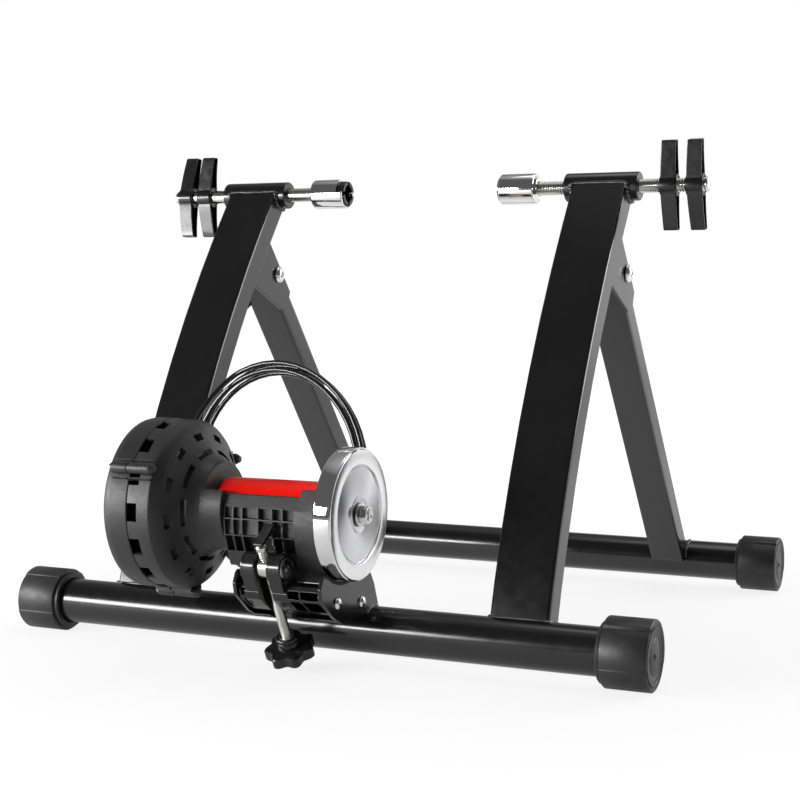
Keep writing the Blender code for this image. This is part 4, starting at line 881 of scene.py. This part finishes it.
def mouth_cutter(neck1):
    bm = bmesh.new()
    rows = []
    for x in (-0.0588, neck1 + 0.002):
        rows.append([bm.verts.new(axle(x) + Vector((0, y, z))) for y, z in
                     ((-0.045, 0.0190), (0.045, 0.004), (0.045, 0.05), (-0.045, 0.05))])
    prism(bm, *rows)
    return place(bm, "mouth_cutter")


BOSS_ANGLES, BOSS_OUT, BOSS_R, BOSS_L = (152.0, 25.0, 272.0), 0.0037, 0.0046, 0.0150


def boss_profile(length, taper):
    """Outline of a boss: plain on the cover, with a screw hole and a tapered end on the shell."""
    if not taper:
        return [(0, 0), (0, BOSS_R - 0.0004), (0.0004, BOSS_R), (length, BOSS_R), (length, 0)]
    return [(0.0030, 0), (0.0030, 0.0018), (0, 0.0018), (0, BOSS_R - 0.0003), (length - taper, BOSS_R),
            (length, BOSS_R - taper * 0.5), (length, 0)]


def bosses(shell_x0):
    """Screw bosses on both halves of the drum, each between two thin gussets, and their screws."""
    for k, angle in enumerate(BOSS_ANGLES):
        out = spoke(angle)
        along = Vector((0, -out.z, out.y))
        spot = out * (DRUM_R + BOSS_OUT)
        bm = bmesh.new()
        for x0, length, taper in ((shell_x0 - GAP - BOSS_L, BOSS_L, 0.0), (shell_x0, 0.0237, 0.0040)):
            turn_into(bm, axle(x0) + spot, X_AXIS, eased(boss_profile(length, taper), 0.0005), 40)
            for s in (-1, 1):
                gusset(bm, x0 + 0.0006, x0 + length - 0.0006 - taper, out, along, s * 0.0076)
        place(bm, f"drum_boss_{k + 1}", "shell", "roller_unit")
        profile = [(-0.0010, 0), (-0.0010, 0.0031), (0, 0.0032), (0.0014, 0.0032), (0.0022, 0.0024),
                   (0.0022, 0.0008), (0.0012, 0.0006), (0.0012, 0)]
        turned(f"drum_screw_{k + 1}_fine", axle(shell_x0 - BOSS_L - 2 * GAP) + spot, -X_AXIS, profile, 32,
               "zinc", "roller_unit", [f"drum_screw_{k + 1}"], ease=0.0002)


def gusset(bm, x0, x1, out, along, shift):
    rows = []
    for x in (x0, x1):
        foot = axle(x) + along * shift
        rows.append([bm.verts.new(foot + out * (DRUM_R + h) + along * t) for h, t in
                     ((-0.0014, -0.0006), (0.0024, -0.0005), (0.0024, 0.0005), (-0.0014, 0.0006))])
    prism(bm, *rows)


def spinner():
    low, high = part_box("roller")
    r, length, bore = (high.z - low.z) / 2, high.x - low.x, 0.0053
    turned("roller_fine", axle(low.x), X_AXIS,
           [(0, bore), (0, r - 0.0034), (0.0010, r - 0.0016), (0.0030, r), (length - 0.0014, r),
            (length, r - 0.0014), (length, bore), (0, bore)], 128, "roller", "spinner",
           ["roller"], ease=0.0006)
    low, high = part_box("flywheel")
    r, w = (high.z - low.z) / 2, high.x - low.x
    face = [(w - 0.0006, bore), (w - 0.0006, 0.0128), (w - 0.0002, 0.0132), (w - 0.0002, 0.0140),
            (w - 0.0009, 0.0145), (w - 0.0009, 0.0370), (w - 0.0022, 0.0373), (w - 0.0022, 0.0381)]
    band = [(w - 0.0022, 0.0381), (w - 0.0002, 0.0386), (w, 0.0392), (w, r - 0.0016)]
    edge = [(w, r - 0.0016), (w - 0.0003, r - 0.0008), (w - 0.0012, r), (0.0012, r), (0.0003, r - 0.0008),
            (0, r - 0.0016), (0, 0.0400), (0.0030, 0.0385), (0.0030, 0.0170), (0, 0.0155), (0, bore)]
    back = w - 0.0032
    for name, profile, look, nodes in (("face", face, "flywheel", ()), ("ring", band, "satin_rim", ()),
                                       ("rim", edge, "rim", ["flywheel"])):
        closed = profile + [(back, profile[-1][1]), (back, profile[0][1]), profile[0]]
        turned(f"flywheel_{name}", axle(low.x), X_AXIS, closed, 192, look, "spinner", nodes,
               ease=0.00025, sharp=50)
    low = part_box("flywheel_washer")[0]
    turned("flywheel_washer_fine", axle(low.x), X_AXIS,
           [(0, bore), (0, 0.0093), (0.0002, 0.0095), (0.0010, 0.0095), (0.0012, 0.0093), (0.0012, bore),
            (0, bore)], 64, "zinc", "spinner", ["flywheel_washer"], ease=0.0002)
    low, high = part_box("flywheel_nut")
    hexagon("flywheel_nut_fine", axle(low.x), X_AXIS, (high.z - low.z) / 2, high.x - low.x, bore, "chrome",
            "spinner", ["flywheel_nut"], 0.2)
    low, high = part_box("axle_shaft")
    threaded, r = 0.0120, 0.0050
    plain = high.x - low.x - threaded
    bm = bmesh.new()
    threaded_into(bm, axle(high.x), -X_AXIS, threaded, r, 0.0010, 0.0005, 24, 6)
    turn_into(bm, axle(high.x - threaded), -X_AXIS, [(0, 0), (0, r), (plain, r), (plain, 0)], 32)
    place(bm, "axle_shaft_fine", "zinc", "spinner", ["axle_shaft"], sharp=60)
    dress(["rotor_disc"], "disc", 0.0003)
    dress(["magnet_carrier"], "block", 0.0003)
    dress(["bearing_l", "bearing_r"], "dark_zinc", 0.0003)


# the tilt screw's length above its pivot, below it, and inside the knob
SCREW_UP, SCREW_DOWN, SCREW_IN = 0.0165, 0.0665, 0.0100
LOBES, LOBE_R, LOBE_DEPTH = 7, 0.0206, 0.0019


def star_knob():
    """Seven-lobed knob on a stepped neck, with a metal ring where the screw goes in."""
    start = TRUNNION - SCREW_DIR * SCREW_DOWN
    d, u, v = basis(-SCREW_DIR)
    # distance along the screw and share of the lobes' radius
    profile = [(0.0120, 0.0), (0.0120, 0.30), (0.0093, 0.30), (0.0093, 0.86), (0.0100, 0.955), (0.0112, 1.0),
               (0.0180, 1.0), (0.0190, 0.95), (0.0190, 0.80), (0.0178, 0.74), (0.0178, 0.0)]
    bm = bmesh.new()
    rows = []
    for s, k in eased(profile, 0.0004, 2):
        depth = LOBE_DEPTH if k > 0.5 else 0.0
        rows.append(ring(bm, start + d * s, u, v, 24 * LOBES, lambda a: k * (
            LOBE_R - depth + depth * math.cos(LOBES * a))))
    bridge(bm, rows)
    bmesh.ops.remove_doubles(bm, verts=bm.verts, dist=1e-7)
    place(bm, "star_knob_lobes", "knob", "tilt_screw", ["star_knob"])
    turned("star_knob_neck", start, d,
           [(0.0004, 0.0044), (0, 0.0060), (0, 0.0082), (0.0008, 0.0090), (0.0030, 0.0091), (0.0030, 0.0084),
            (0.0042, 0.0084), (0.0042, 0.0092), (0.0096, 0.0097), (0.0100, 0.0097), (0.0100, 0.0044),
            (0.0004, 0.0044)], 96, "knob", "tilt_screw")
    turned("star_knob_ring", start - d * 0.0003, d,
           [(0.0012, 0.0043), (0, 0.0044), (0, 0.0062), (0.0012, 0.0064), (0.0012, 0.0043)],
           64, "zinc", "tilt_screw", ease=0.0002)


def tilt():
    top = TRUNNION + SCREW_DIR * SCREW_UP
    bm = bmesh.new()
    threaded_into(bm, top, -SCREW_DIR, SCREW_UP + SCREW_DOWN + SCREW_IN, 0.0041, 0.00125, 0.00045, 24, 6)
    place(bm, "tilt_screw_fine", "zinc", "tilt_screw", ["tilt_screw_rod"], sharp=80)
    star_knob()
    dress(["trunnion"], "zinc", 0.0004, 3)
    dress(["thrust_pad"], "zinc", 0.0003)
    trunnion_ends()
    dress(["hinge_pin"], "zinc", 0.0003)


def trunnion_ends():
    """Darker hexagon end caps of the cross barrel, each with a socket."""
    low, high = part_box("trunnion")
    for name, x, sign in (("l", low.x, -1), ("r", high.x, 1)):
        base = Vector((x - sign * 0.0012, TRUNNION.y, TRUNNION.z))
        hexagon(f"trunnion_end_{name}", base, (sign, 0, 0), 0.0075, 0.0019, 0.0034, "dark_zinc",
                "screw_pivot", phase=0.3)


def cheek_screws():
    left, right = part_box("unit_bracket")
    profile = [(-0.0040, 0.0), (-0.0040, 0.0018), (0.0, 0.0018), (0.0, 0.0046), (0.0008, 0.0046),
               (0.0022, 0.0036), (0.0029, 0.0020), (0.0030, 0.0)]
    for name in ("l1", "l2", "r1", "r2"):
        sign, face = (1, right.x) if name[0] == "r" else (-1, left.x)
        where = centre(f"cheek_screw_{name}")
        base = Vector((face + sign * 0.0002, where.y, where.z))
        screw = turned(f"cheek_screw_{name}_fine", base, (sign, 0, 0), profile, 48, "chrome", "root",
                       [f"cheek_screw_{name}"], ease=0.0006)
        cut(screw, *bars(base + X_AXIS * sign * 0.0026, 0.0013, ((0.00042, 0.0021), (0.00294, 0.0003))))


def housing():
    """The cradle, with its front cut back for the screw's tongue and its ribs carried across behind that."""
    source = frame["nodes"]["roller_housing"].data.copy()
    drop_normals(source)
    bm = bmesh.new()
    bm.from_mesh(source)
    bpy.data.meshes.remove(source)
    bmesh.ops.remove_doubles(bm, verts=bm.verts, dist=MERGE)
    bmesh.ops.dissolve_limit(bm, angle_limit=FLAT, verts=bm.verts, edges=bm.edges)
    body = place(bm, "roller_housing_fine", "shell", "roller_unit", ["roller_housing"])
    front, half = AXLE.y - 0.0262, 0.0107
    cut(body, block(Vector((-half, AXLE.y - 0.060, AXLE.z - 0.0330)), Vector((half, front, AXLE.z + 0.0042))))
    ribs = bmesh.new()
    for x in (-half, 0.0016, half):
        for top, low, reach in ((0.0050, -0.0185, 0.0312), (-0.0180, -0.0248, 0.0290)):
            box_into(ribs, Vector((x - 0.0008, AXLE.y - reach, AXLE.z + low)),
                     Vector((x + 0.0008, front + 0.0010, AXLE.z + top)))
    for z, reach in ((0.0046, 0.0305), (-0.0050, 0.0312), (-0.0182, 0.0296)):
        box_into(ribs, Vector((-half, AXLE.y - reach, AXLE.z + z - 0.0006)),
                 Vector((half, front + 0.0010, AXLE.z + z + 0.0006)))
    piece = place(ribs, "housing_ribs", "shell", "roller_unit")
    soften(piece, 0.0002, 2)
    nose()
    soften(body, 0.0003, 2)


def nose():
    """Thin tongue that leans on the screw's thrust pad, its face square to the screw."""
    tip = TRUNNION + SCREW_DIR * 0.0220
    flat = Vector((0, SCREW_DIR.z, -SCREW_DIR.y))
    low, high = tip - flat * 0.0046, tip + flat * 0.0190
    outer, root = low + SCREW_DIR * 0.0028, high + SCREW_DIR * 0.0062
    bm = bmesh.new()
    prism(bm, *([bm.verts.new(Vector((x, p.y, p.z))) for p in (low, high, root, outer)]
                for x in (-0.0042, 0.0042)))
    soften(place(bm, "housing_nose", "block", "roller_unit"), 0.0012, 3)


def ear_rims():
    """Raised lips round both faces of the ears."""
    for k, x in enumerate((-0.0168, -0.0056, 0.0056, 0.0168)):
        outward = 1 if k in (1, 3) else -1
        profile = [(-0.0010, 0.0102), (0.0005, 0.0104), (0.0007, 0.0110), (0.0005, 0.0117), (-0.0010, 0.0120),
                   (-0.0010, 0.0102)]
        turned(f"ear_rim_{k + 1}", Vector((x, TRUNNION.y, TRUNNION.z)), (outward, 0, 0), profile, 72, "block",
               "root", ease=0.0002)


def unit():
    drum()
    housing()
    dress(["unit_bracket"], "powder", 0.0005, 3)
    dress(["mount_block"], "block", 0.0006, 3)
    ear_rims()
    spinner()
    tilt()
    cheek_screws()


# Studio

def lamp(name, spot, target, width, height, power):
    data = bpy.data.lights.new(name, "AREA")
    data.shape, data.size, data.size_y, data.energy = "RECTANGLE", width, height, power
    made = add(name, data)
    made.location = spot
    made.rotation_mode = "QUATERNION"
    made.rotation_quaternion = (target - spot).to_track_quat("-Z", "Y")


def floor():
    """White floor that glows where the camera sees it, and behind the object where metal mirrors it."""
    bm = bmesh.new()
    bmesh.ops.create_grid(bm, x_segments=1, y_segments=1, size=8.0)
    mesh = bpy.data.meshes.new("floor")
    bm.to_mesh(mesh)
    bm.free()
    made = add("floor", mesh)
    made.location = (0, 0, -0.0002)
    material, tree, shader = principled("floor_white", (0.86, 0.86, 0.86), 0.0, 0.7, {})
    glow = node(tree, "ShaderNodeEmission", {"Color": (1, 1, 1, 1), "Strength": 1.12})
    path = node(tree, "ShaderNodeLightPath")
    where = object_place(tree)
    away = node(tree, "ShaderNodeVectorMath", {0: where}, operation="LENGTH").outputs["Value"]
    plain = maths(tree, "MULTIPLY", path.outputs["Is Camera Ray"], span(tree, away, 0.35, 1.3, 0.74, 1.0))
    place_y = node(tree, "ShaderNodeSeparateXYZ", {0: where}).outputs["Y"]
    behind = span(tree, place_y, -0.45, 0.05, 0.0, 0.55)
    behind = maths(tree, "MULTIPLY", path.outputs["Is Glossy Ray"], behind)
    share = maths(tree, "ADD", plain, behind)
    blend = node(tree, "ShaderNodeMixShader", {0: share, 1: shader.outputs[0], 2: glow.outputs[0]})
    tree.links.new(blend.outputs[0], tree.nodes["Material Output"].inputs["Surface"])
    mesh.materials.append(material)


def facing(tree, way, toward, low, high, strength):
    """Light that comes from one part of the sky, brightest along a direction."""
    lined = node(tree, "ShaderNodeVectorMath", {0: way, 1: tuple(Vector(toward).normalized())},
                 operation="DOT_PRODUCT").outputs["Value"]
    return span(tree, lined, low, high, 0.0, strength)


def world():
    """A dark studio, bright behind on the right, and white where the camera sees past the object."""
    made = bpy.data.worlds.new("studio")
    bpy.context.scene.world = made
    made.use_nodes = True
    tree = made.node_tree
    tree.nodes.clear()
    way = node(tree, "ShaderNodeTexCoord").outputs["Generated"]
    total = 0.10
    for toward, low, high, strength in (((0.42, 0.90, 0.0), 0.62, 0.90, 0.95),
                                        ((0.0, 0.25, 0.97), 0.80, 0.97, 0.35),
                                        ((-0.75, 0.60, 0.1), 0.70, 0.95, 0.30)):
        total = maths(tree, "ADD", total, facing(tree, way, toward, low, high, strength))
    dim = node(tree, "ShaderNodeBackground", {"Color": (1, 1, 1, 1), "Strength": total})
    white = node(tree, "ShaderNodeBackground", {"Color": (1, 1, 1, 1), "Strength": 1.0})
    path = node(tree, "ShaderNodeLightPath")
    seen = maths(tree, "MAXIMUM", path.outputs["Is Camera Ray"], path.outputs["Is Transmission Ray"])
    both = node(tree, "ShaderNodeMixShader", {0: seen, 1: dim.outputs[0], 2: white.outputs[0]})
    out = node(tree, "ShaderNodeOutputWorld")
    tree.links.new(both.outputs[0], out.inputs["Surface"])


def studio():
    world()
    floor()
    middle = Vector((0.0, -0.10, 0.12))
    lamp("strip_box", middle + Vector((-1.17, -1.22, 0.27)), middle, 1.55, 0.34, 37.0)
    lamp("overhead", middle + Vector((0.25, 0.45, 1.75)), middle, 1.4, 1.0, 4.5)
    lamp("right_box", middle + Vector((1.25, 1.25, 0.55)), middle, 0.5, 0.9, 9.0)
    bpy.context.scene.view_settings.view_transform = "Standard"


camera()
cable()
stand()
clamps()
unit()
studio()
bpy.context.view_layer.update()
